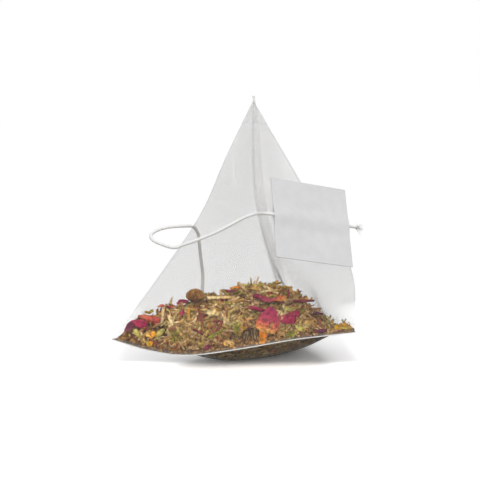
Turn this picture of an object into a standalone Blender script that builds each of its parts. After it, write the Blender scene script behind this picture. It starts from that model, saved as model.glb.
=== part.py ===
# A pyramid tea bag: a mesh sheet folded and heat sealed into a soft tetrahedron, the tea
# inside it, and a cotton thread with a folded paper tag. Metres, +Z up, the bag stands on
# the flat foot that the weight of the tea presses into its bottom wall.

import math
import random

import bpy
import bmesh
from mathutils import Matrix, Vector
from mathutils.bvhtree import BVHTree

# The bag's overall sizes
bag_width = 0.058            # along the front seal, corner to corner
bag_depth = 0.0556           # front seal's edge to the back seal's edge
bag_height = 0.0655          # apex of the walls above the table
seal_yaw = 0.006             # how much further back the right corner lies than the left
left_lift = 0.0098           # height of each lower corner above the table
right_lift = 0.0102
back_lift = 0.0095
back_corner_x = 0.013
apex_x = 0.0046
apex_y = 0.0045

# The sheet and its seals
wall = 0.0002                # mesh cloth with its weld stiffness
front_fin = 0.0012           # welded strip outside the front seal
back_fin = 0.0020            # welded strip outside the back seal
fin_thickness = 0.0003
apex_ear = 0.0012            # back strip standing above the apex
sheet_columns = 40           # cells round the bag, a multiple of four
sheet_rows = 20              # cells between the two seals
rib_width = 0.0010           # woven rib left between two gaps of the front wall
wall_gaps = 110
weld_rows = 1                # rows of cells without gaps beside the front seal

# How far each edge leaves its straight line: share of the way, then the offset
edge_bends = {
    ("left", "right"): [
        (0.15, (0.0, -0.0004, -0.0032)),
        (0.30, (0.0, -0.0006, -0.0048)),
        (0.50, (0.0, -0.0006, -0.0036)),
        (0.75, (0.0, -0.0003, -0.0014)),
    ],
    ("left", "apex"): [
        (0.22, (0.0022, 0.0010, 0.0)),
        (0.50, (0.0036, 0.0018, 0.0)),
        (0.75, (0.0015, 0.0008, 0.0)),
    ],
    ("right", "apex"): [
        (0.28, (0.0058, -0.0020, 0.0)),
        (0.65, (0.0028, -0.0010, 0.0)),
    ],
    ("back", "apex"): [
        (0.15, (-0.0010, 0.0, 0.0)),
        (0.38, (-0.0027, 0.0006, 0.0)),
        (0.62, (-0.0028, 0.0006, 0.0)),
    ],
    ("left", "back"): [(0.50, (0.0010, -0.0010, -0.0030))],
    ("right", "back"): [(0.50, (0.0012, 0.0, -0.0026))],
}

# Outward swell in the middle of each wall
front_swell = 0.0016
right_swell = -0.0016
left_swell = -0.0010
bottom_swell = 0.0260
bottom_shape = {"left": 1.2, "right": 1.0, "back": 2.1}  # draws the belly to the back and left

# A dent in the slack right wall and the pleat beside the back seal: place on the sheet in
# cells of half a seal by one wall height, radius in the same cells, depth in metres
wall_dents = [
    (2.10, 0.36, 0.20, 0.0022),
    (1.95, 0.62, 0.16, -0.0008),
    (2.55, 0.80, 0.10, 0.0012),
]

# The heap of tea. Places in it are shares of the bag's width and depth from its middle,
# and a fall is the height lost one whole width or depth away.
heap_top = 0.0166            # crest above the table
heap_crest_x = 0.07
heap_crest_y = 0.108
heap_front_fall = 0.0263
heap_back_fall = 0.0433
heap_left_fall = 0.101
heap_left_start = -0.241     # where the crest starts to drop on each side
heap_right_fall = 0.155
heap_right_start = 0.172
heap_left_sweep = 1.57       # how fast the crest line turns to each lower corner
heap_right_sweep = 2.90
heap_bump = 0.0004
heap_columns = 24            # cells of the heap's skin, as for the sheet
heap_rows = 12
heap_cells = 18              # cells across the form that trims its top
form_spread = 1.1            # width of that form against the bag's
heap_gap = 0.0006            # between the heap and the inside of the wall
seat_gap = 0.0003            # between any two pieces that touch
wall_clearance = 0.0001      # least gap between a loose piece and the inside of a wall
place_step = 0.02            # share of its way to the roomy place that a crowded piece moves
roomy_x = 0.06               # that place, in shares of the width and depth from the middle
roomy_y = -0.15

# The tag: one card folded over the thread
tag_width = 0.0207
tag_height = 0.0207
card = 0.00028
tag_lean = math.radians(-28.4)
tag_roll = math.radians(11.6)
tag_yaw = math.radians(29.2)
tag_edge_share = 0.430       # where on the right edge, right corner to apex, the tag rests
tag_slide = -0.0069          # how far the tag's middle lies beside that place
tag_thread_height = 0.0006   # thread above the tag's middle
tag_swell_reach = 0.0032     # how far above and below the thread the leaves part

# The thread
thread_diameter = 0.00086
thread_route = [
    (-0.00846, -0.00300, 0.01584),
    (-0.00825, -0.00355, 0.02131),
    (-0.00860, -0.00515, 0.02538),
    (-0.00897, -0.00650, 0.02960),
    (-0.00925, -0.00740, 0.03240),
    (-0.01039, -0.00940, 0.03448),
    (-0.01276, -0.01120, 0.03483),
    (-0.01573, -0.01260, 0.03479),
    (-0.01801, -0.01400, 0.03446),
    (-0.01954, -0.01500, 0.03387),
    (-0.02030, -0.01600, 0.03318),
    (-0.01987, -0.01700, 0.03221),
    (-0.01800, -0.01800, 0.03134),
    (-0.01471, -0.01880, 0.03050),
    (-0.01241, -0.01900, 0.03117),
    (-0.00898, -0.01880, 0.03233),
    (-0.00440, -0.01830, 0.03418),
    (0.00017, -0.01780, 0.03653),
    (0.00288, -0.01760, 0.03786),
    (0.00520, -0.01750, 0.03850),
]
thread_tail = 0.0022         # bare thread past the tag
thread_points = 76

# Tea pieces lying on the heap: share of the width and of the depth from the bag's middle,
# turn in degrees, length, then width or diameter
stem_places = [
    (-0.181, -0.315, -40, 0.0055, 0.00070),
    (-0.060, -0.201, -20, 0.0052, 0.00060),
    (-0.060, -0.129, 15, 0.0072, 0.00080),
    (-0.021, -0.025, -20, 0.0046, 0.00060),
    (-0.103, -0.270, 20, 0.0060, 0.00060),
    (0.069, 0.099, 5, 0.0070, 0.00070),
    (0.028, -0.245, 30, 0.0062, 0.00070),
    (0.259, 0.000, -60, 0.0055, 0.00060),
    (0.172, 0.180, 70, 0.0052, 0.00060),
    (0.147, -0.027, 40, 0.0058, 0.00060),
    (0.216, 0.099, -15, 0.0048, 0.00060),
    (0.293, -0.144, 10, 0.0055, 0.00060),
]
petal_places = [
    (-0.290, -0.320, 35, 0.0046, 0.0032),
    (-0.224, -0.252, 60, 0.0044, 0.0032),
    (0.147, -0.171, -15, 0.0085, 0.0066),
    (0.336, -0.243, 5, 0.0044, 0.0028),
]
flake_places = [
    (-0.355, -0.365, 30, 0.0024, 0.0014),
    (-0.224, -0.353, -10, 0.0032, 0.0018),
    (0.014, -0.072, 10, 0.0040, 0.0020),
    (0.233, -0.279, 60, 0.0040, 0.0022),
    (0.078, 0.009, -30, 0.0034, 0.0022),
    (-0.086, -0.335, 10, 0.0032, 0.0018),
]
seed_places = [
    (0.069, -0.317, 20, 0.0024, 0.0013),
    (0.003, -0.320, 70, 0.0022, 0.0012),
    (-0.112, -0.371, 10, 0.0024, 0.0012),
]
peel_places = [
    (0.138, -0.297, 80, 0.0040, 0.0022),
    (0.003, 0.043, 40, 0.0026, 0.0018),
]
blossom_places = [
    (0.317, -0.079, 0, 0.0028, 0.0028),
    (0.193, 0.270, 0, 0.0028, 0.0028),
    (0.397, -0.252, 0, 0.0022, 0.0022),
]
flower_head_place = (-0.172, -0.201, 0, 0.0042, 0.0040)

stem_bow = 0.0004
stem_taper = 0.8
petal_form = (0.00030, 0.16, 3.0)   # thickness, cup and bluntness of the outline
flake_form = (0.00035, 0.10, 2.0)
seed_form = (0.0011, 2, 0.03)       # height, lobes and their depth
blossom_form = (0.0012, 5, 0.18)
flower_head_form = (0.0030, 3, 0.05)
peel_thickness = 0.0009
peel_skew = 0.2
peel_bevel = 0.00018

for old in list(bpy.data.objects):
    bpy.data.objects.remove(old)

parts = bpy.data.collections.new("pyramid_tea_bag")
cutters = bpy.data.collections.new("cutters")
bpy.context.scene.collection.children.link(parts)
bpy.context.scene.collection.children.link(cutters)


def material(name, colour, roughness):
    made = bpy.data.materials.new(name)
    made.use_nodes = True
    shader = made.node_tree.nodes["Principled BSDF"]
    shader.inputs["Base Color"].default_value = (*colour, 1.0)
    shader.inputs["Roughness"].default_value = roughness
    shader.inputs["Metallic"].default_value = 0.0
    made.diffuse_color = (*colour, 1.0)
    return made


def add_mesh_object(name, mesh, collection, finish=None):
    made = bpy.data.objects.new(name, mesh)
    collection.objects.link(made)
    if finish:
        mesh.materials.append(finish)
    return made


def evaluated_mesh(source):
    bpy.context.view_layer.update()
    graph = bpy.context.evaluated_depsgraph_get()
    return bpy.data.meshes.new_from_object(source.evaluated_get(graph))


corners = {
    "left": Vector((-bag_width / 2, -bag_depth / 2 + front_fin, left_lift)),
    "right": Vector((bag_width / 2, -bag_depth / 2 + front_fin + seal_yaw, right_lift)),
    "back": Vector((back_corner_x, bag_depth / 2 - back_fin, back_lift)),
    "apex": Vector((apex_x, apex_y, bag_height)),
}
bag_middle = sum(corners.values(), Vector()) / 4


def through(knots, share):
    # smooth curve through (share, value) knots, read at one share
    steps = [0.0] + [knot[0] for knot in knots] + [1.0]
    values = [Vector()] + [Vector(knot[1]) for knot in knots] + [Vector()]
    slopes = []
    for i in range(len(steps)):
        before = max(i - 1, 0)
        after = min(i + 1, len(steps) - 1)
        slopes.append((values[after] - values[before]) / (steps[after] - steps[before]))
    i = 0
    while i < len(steps) - 2 and steps[i + 1] < share:
        i += 1
    span = steps[i + 1] - steps[i]
    t = (share - steps[i]) / span
    return (
        values[i] * (1 + 2 * t) * (1 - t) ** 2
        + slopes[i] * span * t * (1 - t) ** 2
        + values[i + 1] * t * t * (3 - 2 * t)
        + slopes[i + 1] * span * t * t * (t - 1)
    )


def edge_point(first, second, share):
    knots = edge_bends[(first, second)]
    return corners[first].lerp(corners[second], share) + through(knots, share)


def wall_normal(names):
    a, b, c = (corners[name] for name in names)
    normal = (b - a).cross(c - a).normalized()
    if normal.dot(a - bag_middle) < 0:
        normal = -normal
    return normal


walls = {
    "front": (("left", "right", "apex"), front_swell),
    "right": (("right", "apex", "back"), right_swell),
    "bottom": (("right", "left", "back"), bottom_swell),
    "left": (("left", "back", "apex"), left_swell),
}


def wall_shares(u, v):
    # Which wall a place on the flat sheet belongs to, and the share of each of its corners.
    # u runs round the bag in half seals (0 to 4), v from the front seal to the back seal.
    if v <= u <= 2 - v:
        right = (u - v) / 2
        return "front", {"left": 1 - right - v, "right": right, "apex": v}
    if 2 - v < u < 2 + v:
        back = (u - 2 + v) / 2
        return "right", {"right": 1 - v, "apex": v - back, "back": back}
    if 2 + v <= u <= 4 - v:
        left = (u - 2 - v) / 2
        return "bottom", {"right": 1 - left - v, "left": left, "back": v}
    turned = u if u > 2 else u + 4
    apex = (turned - 4 + v) / 2
    return "left", {"left": 1 - v, "back": v - apex, "apex": apex}


def bag_point(u, v):
    name, shares = wall_shares(u, v)
    names, swell = walls[name]
    place = Vector()
    product = 27.0
    for corner, share in shares.items():
        place += corners[corner] * share
        power = bottom_shape[corner] if name == "bottom" else 1.0
        product *= max(share, 0.0) ** power
    for (first, second), knots in edge_bends.items():
        if first in shares and second in shares:
            both = shares[first] + shares[second]
            if both > 1e-6:
                place += through(knots, min(max(shares[second] / both, 0.0), 1.0)) * both ** 2
    place += wall_normal(names) * swell * product
    if name == "right":
        for dent_u, dent_v, radius, depth in wall_dents:
            away = ((u - dent_u) ** 2 + (v - dent_v) ** 2) / radius ** 2
            fade = min(1.0, product * 2)
            place -= wall_normal(names) * depth * math.exp(-away) * fade
    place.z = max(place.z, 0.0)
    return place


def bag_surface(columns, rows, gaps):
    # The sheet as a flat grid, creased along the four folds, then folded up and welded
    bm = bmesh.new()
    bmesh.ops.create_grid(bm, x_segments=columns, y_segments=rows, size=1.0)
    for vert in bm.verts:
        vert.co = Vector(((vert.co.x + 1) * 2, (vert.co.y + 1) / 2, 0.0))
    for foot, head in ((0, 1), (2, 1), (2, 3), (4, 3)):
        crease = Vector((head - foot, 1.0, 0.0))
        bmesh.ops.bisect_plane(
            bm,
            geom=bm.verts[:] + bm.edges[:] + bm.faces[:],
            dist=1e-5,
            plane_co=(foot, 0, 0),
            plane_no=(crease.y, -crease.x, 0),
        )
    if gaps:
        cell_area = 4.0 / columns / rows
        cells = []
        for face in bm.faces:
            middle = face.calc_center_median()
            inside = middle.y < middle.x < 2 - middle.y and middle.y > weld_rows / rows
            if inside and len(face.verts) == 4 and face.calc_area() > cell_area * 0.99:
                cells.append(face)
        cells.sort(key=lambda face: face.calc_center_median().y)
        half_rib = rib_width / 2 / (bag_width / 2)
        bmesh.ops.inset_individual(bm, faces=cells[:gaps], thickness=half_rib)
        bmesh.ops.delete(bm, geom=cells[:gaps], context="FACES")
    for vert in bm.verts:
        vert.co = bag_point(min(max(vert.co.x, 0.0), 4.0), min(max(vert.co.y, 0.0), 1.0))
    bmesh.ops.remove_doubles(bm, verts=bm.verts[:], dist=1e-5)
    bmesh.ops.recalc_face_normals(bm, faces=bm.faces[:])
    bmesh.ops.triangulate(bm, faces=bm.faces[:])
    return bm


def seal_fin(name, first, second, width, after):
    # Welded strip along a seal, from just inside the walls to the sheet's cut edge
    count = sheet_columns // 2
    sides = [names for names, swell in walls.values() if first in names and second in names]
    outward = sum((wall_normal(names) for names in sides), Vector()).normalized()
    run = (corners[second] - corners[first]).normalized()
    bm = bmesh.new()
    rows = []
    for i in range(count + 1):
        share = i / count
        place = edge_point(first, second, share)
        if i == count:
            place += run * after
        inner = bm.verts.new(place - outward * fin_thickness)
        outer = bm.verts.new(place + outward * width)
        rows.append((inner, outer))
    for (a, b), (c, d) in zip(rows, rows[1:]):
        bm.faces.new((a, b, d, c))
    mesh = bpy.data.meshes.new(name)
    bm.to_mesh(mesh)
    bm.free()
    fin = add_mesh_object(name, mesh, cutters)
    thicken = fin.modifiers.new("thickness", "SOLIDIFY")
    thicken.thickness = fin_thickness
    thicken.offset = 0.0
    fin.hide_render = True
    fin.display_type = "WIRE"
    return fin


def build_bag():
    cloth = material("nylon_mesh", (0.82, 0.82, 0.80), 0.45)
    bm = bag_surface(sheet_columns, sheet_rows, wall_gaps)
    mesh = bpy.data.meshes.new("mesh_bag")
    bm.to_mesh(mesh)
    bm.free()
    bag = add_mesh_object("mesh_bag", mesh, parts, cloth)
    thicken = bag.modifiers.new("wall", "SOLIDIFY")
    thicken.thickness = wall
    thicken.offset = -1.0
    thicken.use_even_offset = True
    for fin in (
        seal_fin("front_fin", "left", "right", front_fin, 0.0),
        seal_fin("back_fin", "back", "apex", back_fin, apex_ear),
    ):
        weld = bag.modifiers.new(fin.name, "BOOLEAN")
        weld.operation = "UNION"
        weld.object = fin
    return bag


def heap_height(x, y):
    x /= bag_width
    y /= bag_depth
    height = heap_top
    height -= heap_left_fall * min(x - heap_left_start, 0.0) ** 2
    height -= heap_right_fall * max(x - heap_right_start, 0.0) ** 2
    sweep = heap_left_sweep if x < heap_crest_x else heap_right_sweep
    crest_y = heap_crest_y - sweep * (x - heap_crest_x) ** 2
    fall = heap_front_fall if y < crest_y else heap_back_fall
    height -= fall * (y - crest_y) ** 2
    height += heap_bump * math.sin(x * 52 + y * 17) * math.cos(y * 61 - x * 12)
    return height


def build_heap():
    leaves = material("rooibos_and_herbs", (0.30, 0.20, 0.10), 0.85)
    bm = bag_surface(heap_columns, heap_rows, 0)
    moved = {}
    for vert in bm.verts:
        moved[vert] = vert.co - vert.normal * (wall + heap_gap) * vert.calc_shell_factor()
    for vert, place in moved.items():
        vert.co = place
    mesh = bpy.data.meshes.new("tea_leaves")
    bm.to_mesh(mesh)
    bm.free()
    heap = add_mesh_object("tea_leaves", mesh, parts, leaves)

    bm = bmesh.new()
    bmesh.ops.create_cube(bm, size=1.0)
    bmesh.ops.subdivide_edges(
        bm,
        edges=[edge for edge in bm.edges if abs(edge.verts[0].co.z - edge.verts[1].co.z) < 0.5],
        cuts=heap_cells - 1,
        use_grid_fill=True,
    )
    for vert in bm.verts:
        x = vert.co.x * bag_width * form_spread
        y = vert.co.y * bag_depth * form_spread
        vert.co = (x, y, heap_height(x, y) if vert.co.z > 0 else -bag_height)
    bmesh.ops.triangulate(bm, faces=bm.faces[:])
    mesh = bpy.data.meshes.new("heap_form")
    bm.to_mesh(mesh)
    bm.free()
    form = add_mesh_object("heap_form", mesh, cutters)
    form.hide_render = True
    form.display_type = "WIRE"
    trim = heap.modifiers.new("heap", "BOOLEAN")
    trim.operation = "INTERSECT"
    trim.object = form
    return heap


def surface_tree(mesh, matrix):
    points = [matrix @ vert.co for vert in mesh.vertices]
    return BVHTree.FromPolygons(points, [tuple(face.vertices) for face in mesh.polygons])


def clears_walls(mesh, matrix, cloth):
    # Whether a loose piece keeps its clearance to the inside of the walls
    for vert in mesh.vertices:
        point = matrix @ vert.co
        near, normal, index, distance = cloth.find_nearest(point)
        if (point - near).dot(normal) > -wall - wall_clearance:
            return False
    return True


def drop(piece, place, ground, cloth, laid):
    # Lowers a piece on the heap until its nearest point is one seat gap above it. A piece
    # that would meet a wall or an earlier piece there lies nearer to the roomy place.
    turn = Matrix.Rotation(math.radians(place[2]), 4, "Z")
    mesh = evaluated_mesh(piece)
    share = 1.0
    while share > 0:
        x = (roomy_x + (place[0] - roomy_x) * share) * bag_width
        y = (roomy_y + (place[1] - roomy_y) * share) * bag_depth
        above = Matrix.Translation((x, y, bag_height)) @ turn
        falls = []
        for vert in mesh.vertices:
            world = above @ vert.co
            hit = ground.ray_cast(world, Vector((0, 0, -1)))
            if hit[0]:
                falls.append(world.z - hit[0].z)
        if falls:
            rest = Matrix.Translation((x, y, bag_height - min(falls) + seat_gap)) @ turn
            shape = surface_tree(mesh, rest)
            crowded = any(shape.overlap(other) for other in laid)
            if not crowded and clears_walls(mesh, rest, cloth):
                break
        share -= place_step
    bpy.data.meshes.remove(mesh)
    piece.matrix_world = rest
    laid.append(shape)


def stem(name, place, finish, rng):
    length, diameter = place[3:5]
    bm = bmesh.new()
    bmesh.ops.create_cone(
        bm,
        cap_ends=True,
        segments=6,
        radius1=diameter / 2,
        radius2=diameter / 2 * stem_taper,
        depth=length,
    )
    bmesh.ops.rotate(bm, verts=bm.verts[:], matrix=Matrix.Rotation(math.pi / 2, 3, "Y"))
    sides = [edge for edge in bm.edges if abs(edge.verts[0].co.x - edge.verts[1].co.x) > length / 2]
    bmesh.ops.subdivide_edges(bm, edges=sides, cuts=2)
    bow = rng.uniform(-stem_bow, stem_bow)
    for vert in bm.verts:
        vert.co.y += bow * math.cos(vert.co.x / length * math.pi)
    mesh = bpy.data.meshes.new(name)
    bm.to_mesh(mesh)
    bm.free()
    mesh.shade_smooth()
    return add_mesh_object(name, mesh, parts, finish)


def curled_sheet(name, place, finish, form):
    # A petal or leaf flake: a rounded blade, cupped across and lifted at its tip
    length, width = place[3:5]
    thickness, cup, bluntness = form
    bm = bmesh.new()
    bmesh.ops.create_grid(bm, x_segments=6, y_segments=4, size=0.5)
    for vert in bm.verts:
        along = vert.co.x * 2
        across = vert.co.y * 2
        taper = math.sqrt(max(1 - abs(along) ** bluntness, 0.03))
        vert.co.x = along * length / 2
        vert.co.y = across * width / 2 * taper
        ripple = 0.12 * math.sin(along * 5)
        vert.co.z = cup * width * (across ** 2 * taper + 0.4 * along ** 2 + ripple)
    mesh = bpy.data.meshes.new(name)
    bm.to_mesh(mesh)
    bm.free()
    mesh.shade_smooth()
    blade = add_mesh_object(name, mesh, parts, finish)
    thicken = blade.modifiers.new("thickness", "SOLIDIFY")
    thicken.thickness = thickness
    thicken.offset = 1.0
    return blade


def round_piece(name, place, finish, form):
    # A seed, blossom or flower head: a flattened ball, lobed round its rim
    length, width = place[3:5]
    height, lobes, depth = form
    bm = bmesh.new()
    bmesh.ops.create_uvsphere(bm, u_segments=12, v_segments=6, radius=0.5)
    for vert in bm.verts:
        angle = math.atan2(vert.co.y, vert.co.x)
        swell = 1 + depth * math.cos(lobes * angle)
        vert.co.x *= length * swell
        vert.co.y *= width * swell
        vert.co.z *= height
    mesh = bpy.data.meshes.new(name)
    bm.to_mesh(mesh)
    bm.free()
    mesh.shade_smooth()
    return add_mesh_object(name, mesh, parts, finish)


def peel_piece(name, place, finish):
    length, width = place[3:5]
    bm = bmesh.new()
    bmesh.ops.create_cube(bm, size=1.0)
    for vert in bm.verts:
        skew = peel_skew * vert.co.y
        vert.co = ((vert.co.x + skew) * length, vert.co.y * width, vert.co.z * peel_thickness)
    bmesh.ops.bevel(
        bm, geom=bm.edges[:], offset=peel_bevel, segments=1, affect="EDGES", profile=0.5
    )
    mesh = bpy.data.meshes.new(name)
    bm.to_mesh(mesh)
    bm.free()
    return add_mesh_object(name, mesh, parts, finish)


def build_tea_pieces(ground, cloth):
    rng = random.Random(7)
    rose = material("rose_petal", (0.42, 0.07, 0.12), 0.7)
    straw = material("herb_stem", (0.45, 0.33, 0.15), 0.8)
    green = material("leaf_flake", (0.48, 0.40, 0.20), 0.8)
    dark = material("seed", (0.12, 0.07, 0.04), 0.7)
    orange = material("orange_peel", (0.72, 0.30, 0.05), 0.65)
    cream = material("blossom", (0.62, 0.45, 0.20), 0.8)
    brown = material("flower_head", (0.33, 0.20, 0.10), 0.85)
    pieces = []
    for i, place in enumerate(stem_places, 1):
        pieces.append((stem(f"stem_{i}", place, straw, rng), place))
    for i, place in enumerate(petal_places, 1):
        pieces.append((curled_sheet(f"rose_petal_{i}", place, rose, petal_form), place))
    for i, place in enumerate(flake_places, 1):
        pieces.append((curled_sheet(f"leaf_flake_{i}", place, green, flake_form), place))
    for i, place in enumerate(seed_places, 1):
        pieces.append((round_piece(f"seed_{i}", place, dark, seed_form), place))
    for i, place in enumerate(peel_places, 1):
        pieces.append((peel_piece(f"orange_peel_{i}", place, orange), place))
    for i, place in enumerate(blossom_places, 1):
        pieces.append((round_piece(f"blossom_{i}", place, cream, blossom_form), place))
    head = round_piece("flower_head", flower_head_place, brown, flower_head_form)
    pieces.append((head, flower_head_place))
    laid = []
    for piece, place in pieces:
        drop(piece, place, ground, cloth, laid)


def tag_frame(bag):
    # The tag leans on the right edge: its plane is the first, coming in along its own
    # normal, to come within a seat gap of the bag
    turn = (
        Matrix.Rotation(tag_yaw, 3, "Z")
        @ Matrix.Rotation(tag_lean, 3, "X")
        @ Matrix.Rotation(tag_roll, 3, "Y")
    )
    rest = edge_point("right", "apex", tag_edge_share) + turn @ Vector((tag_slide, 0, 0))
    outward = turn @ Vector((0, -1, 0))
    reach = -1.0
    for vert in bag.vertices:
        local = turn.transposed() @ (vert.co - rest)
        if abs(local.x) < tag_width / 2 and abs(local.z) < tag_height / 2:
            reach = max(reach, -local.y)
    half = card + thread_diameter / 2 + seat_gap
    return Matrix.Translation(rest + outward * (reach + seat_gap + half)) @ turn.to_4x4()


def build_tag(frame):
    # Section across the thread: two leaves folded at the top, swelling over the thread
    paper = material("tag_paper", (0.70, 0.70, 0.70), 0.9)
    bore = thread_diameter / 2 + seat_gap
    hump = bore + card
    outline = []
    for side in (1, -1):
        for i in range(9):
            along = -1 + 2 * i / 8
            lift = card + (hump - card) * (0.5 + 0.5 * math.cos(along * math.pi))
            outline.append((side * lift, tag_thread_height - side * along * tag_swell_reach))
        outline.append((side * card, -side * tag_height / 2))
        outline.append((-side * card, -side * tag_height / 2))
    curve = bpy.data.curves.new("tag", "CURVE")
    curve.dimensions = "2D"
    curve.fill_mode = "BOTH"
    curve.extrude = tag_width / 2
    hole = []
    for i in range(12):
        angle = 2 * math.pi * i / 12
        hole.append((bore * math.cos(angle), tag_thread_height + bore * math.sin(angle)))
    for points in (outline, hole):
        spline = curve.splines.new("POLY")
        spline.points.add(len(points) - 1)
        for point, (x, y) in zip(spline.points, points):
            point.co = (x, y, 0.0, 1.0)
        spline.use_cyclic_u = True
    tag = bpy.data.objects.new("tag", curve)
    parts.objects.link(tag)
    curve.materials.append(paper)
    # the section's x is the tag's thickness and its y the tag's height
    upright = Matrix(((0, 0, 1), (1, 0, 0), (0, 1, 0))).to_4x4()
    tag.matrix_world = frame @ upright
    return tag


def build_thread(frame):
    cotton = material("cotton_thread", (0.86, 0.86, 0.84), 0.85)
    half = tag_width / 2
    route = [Vector(point) for point in thread_route]
    for x in (-half - 0.001, -half * 0.5, 0.0, half * 0.5, half + thread_tail):
        route.append(frame @ Vector((x, 0, tag_thread_height)))
    points = smooth_route(route, thread_points)
    curve = bpy.data.curves.new("thread", "CURVE")
    curve.dimensions = "3D"
    curve.bevel_depth = thread_diameter / 2
    curve.bevel_resolution = 2
    curve.use_fill_caps = True
    spline = curve.splines.new("POLY")
    spline.points.add(len(points) - 1)
    for point, place in zip(spline.points, points):
        point.co = (*place, 1.0)
    thread = bpy.data.objects.new("thread", curve)
    parts.objects.link(thread)
    curve.materials.append(cotton)
    return thread


def smooth_route(route, count):
    # Evenly spaced points on a smooth curve through the route's own points
    dense = []
    for i in range(len(route) - 1):
        a = route[max(i - 1, 0)]
        b = route[i]
        c = route[i + 1]
        d = route[min(i + 2, len(route) - 1)]
        for k in range(40):
            t = k / 40
            dense.append(
                b * (1 - 3 * t * t + 2 * t ** 3)
                + c * (3 * t * t - 2 * t ** 3)
                + (c - a) / 2 * (t - 2 * t * t + t ** 3)
                + (d - b) / 2 * (t ** 3 - t * t)
            )
    dense.append(route[-1])
    travelled = [0.0]
    for before, after in zip(dense, dense[1:]):
        travelled.append(travelled[-1] + (after - before).length)
    points = []
    j = 0
    for i in range(count):
        target = travelled[-1] * i / (count - 1)
        while j < len(dense) - 2 and travelled[j + 1] < target:
            j += 1
        step = (target - travelled[j]) / (travelled[j + 1] - travelled[j])
        points.append(dense[j].lerp(dense[j + 1], min(step, 1.0)))
    return points


def main():
    bag = build_bag()
    heap = build_heap()
    ground = surface_tree(evaluated_mesh(heap), Matrix())
    sheet = bag_surface(sheet_columns, sheet_rows, 0)
    cloth = BVHTree.FromBMesh(sheet)
    sheet.free()
    build_tea_pieces(ground, cloth)
    frame = tag_frame(evaluated_mesh(bag))
    build_tag(frame)
    build_thread(frame)


main()
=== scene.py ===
import math

import bmesh
import bpy
import numpy as np
from mathutils import Matrix, Vector
from mathutils.bvhtree import BVHTree
from mathutils.kdtree import KDTree


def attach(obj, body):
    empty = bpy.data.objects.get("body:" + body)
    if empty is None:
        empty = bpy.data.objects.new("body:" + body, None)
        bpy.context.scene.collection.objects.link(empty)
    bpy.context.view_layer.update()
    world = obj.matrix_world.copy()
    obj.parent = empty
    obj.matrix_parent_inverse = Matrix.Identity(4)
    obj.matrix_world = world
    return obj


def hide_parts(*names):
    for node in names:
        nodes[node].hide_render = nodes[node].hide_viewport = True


# Looks of a pyramid tea bag: a gauze bag, the herb tea in it, its cotton thread and its tag.
# Metres throughout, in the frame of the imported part. Each random generator has a fixed seed.

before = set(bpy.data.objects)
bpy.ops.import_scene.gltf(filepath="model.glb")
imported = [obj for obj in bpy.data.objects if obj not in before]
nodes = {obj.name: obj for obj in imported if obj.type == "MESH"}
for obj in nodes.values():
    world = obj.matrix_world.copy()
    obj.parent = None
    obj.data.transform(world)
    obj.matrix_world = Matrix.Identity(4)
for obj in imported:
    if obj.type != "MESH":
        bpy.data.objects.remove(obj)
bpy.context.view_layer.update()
print("frame loaded")


def fromHex(code):
    channels = []
    for i in (0, 2, 4):
        c = int(code[i:i + 2], 16) / 255
        channels.append(c / 12.92 if c <= 0.04045 else ((c + 0.055) / 1.055) ** 2.4)
    return (*channels, 1.0)


def addNode(tree, kind, settings=None, inputs=None):
    node = tree.nodes.new(kind)
    for name, value in (settings or {}).items():
        setattr(node, name, value)
    for name, value in (inputs or {}).items():
        if isinstance(value, bpy.types.NodeSocket):
            tree.links.new(value, node.inputs[name])
        else:
            node.inputs[name].default_value = value
    return node


def addMath(tree, operation, *values, clamp=False):
    settings = {"operation": operation, "use_clamp": clamp}
    return addNode(tree, "ShaderNodeMath", settings, dict(enumerate(values))).outputs[0]


def addRange(tree, value, start, end, low, high, kind="LINEAR"):
    # the stretch of a value from start to end, turned into low to high
    inputs = dict(enumerate((value, start, end, low, high)))
    return addNode(tree, "ShaderNodeMapRange", {"interpolation_type": kind}, inputs).outputs[0]


def addNoise(tree, scale, detail):
    place = addNode(tree, "ShaderNodeTexCoord").outputs["Object"]
    inputs = {"Vector": place, "Scale": scale, "Detail": detail}
    return addNode(tree, "ShaderNodeTexNoise", {}, inputs).outputs["Fac"]


def addRamp(tree, value, stops):
    node = addNode(tree, "ShaderNodeValToRGB", {}, {"Fac": value})
    elements = node.color_ramp.elements
    while len(elements) < len(stops):
        elements.new(0.5)
    for element, (place, code) in zip(elements, stops):
        element.position = place
        element.color = fromHex(code)
    return node.outputs["Color"]


def addBump(tree, height, strength, distance):
    inputs = {"Strength": strength, "Distance": distance, "Height": height}
    return addNode(tree, "ShaderNodeBump", {}, inputs).outputs["Normal"]


def addScale(tree, vector, factor):
    inputs = {0: vector, "Scale": factor}
    return addNode(tree, "ShaderNodeVectorMath", {"operation": "SCALE"}, inputs).outputs["Vector"]


def readAttribute(tree, name):
    return addNode(tree, "ShaderNodeAttribute", {"attribute_name": name}).outputs["Fac"]


def newMaterial(name, settings):
    # a Principled shader with its fixed values set on its own sockets
    made = bpy.data.materials.new(name)
    made.use_nodes = True
    shader = made.node_tree.nodes["Principled BSDF"]
    for socket, value in settings.items():
        shader.inputs[socket].default_value = value
    return made, made.node_tree, shader


def plugIn(tree, shader, sockets):
    for name, socket in sockets.items():
        tree.links.new(socket, shader.inputs[name])


def cloudyMaterial(name, settings, scale, detail, stops, bump=None):
    # a material whose colour and bump follow the same fine noise
    made, tree, shader = newMaterial(name, settings)
    cloud = addNoise(tree, scale, detail)
    plugIn(tree, shader, {"Base Color": addRamp(tree, cloud, stops)})
    if bump:
        plugIn(tree, shader, {"Normal": addBump(tree, cloud, *bump)})
    return made, tree, shader


def newObject(name, data):
    made = bpy.data.objects.new(name, data)
    bpy.context.scene.collection.objects.link(made)
    return made


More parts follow.
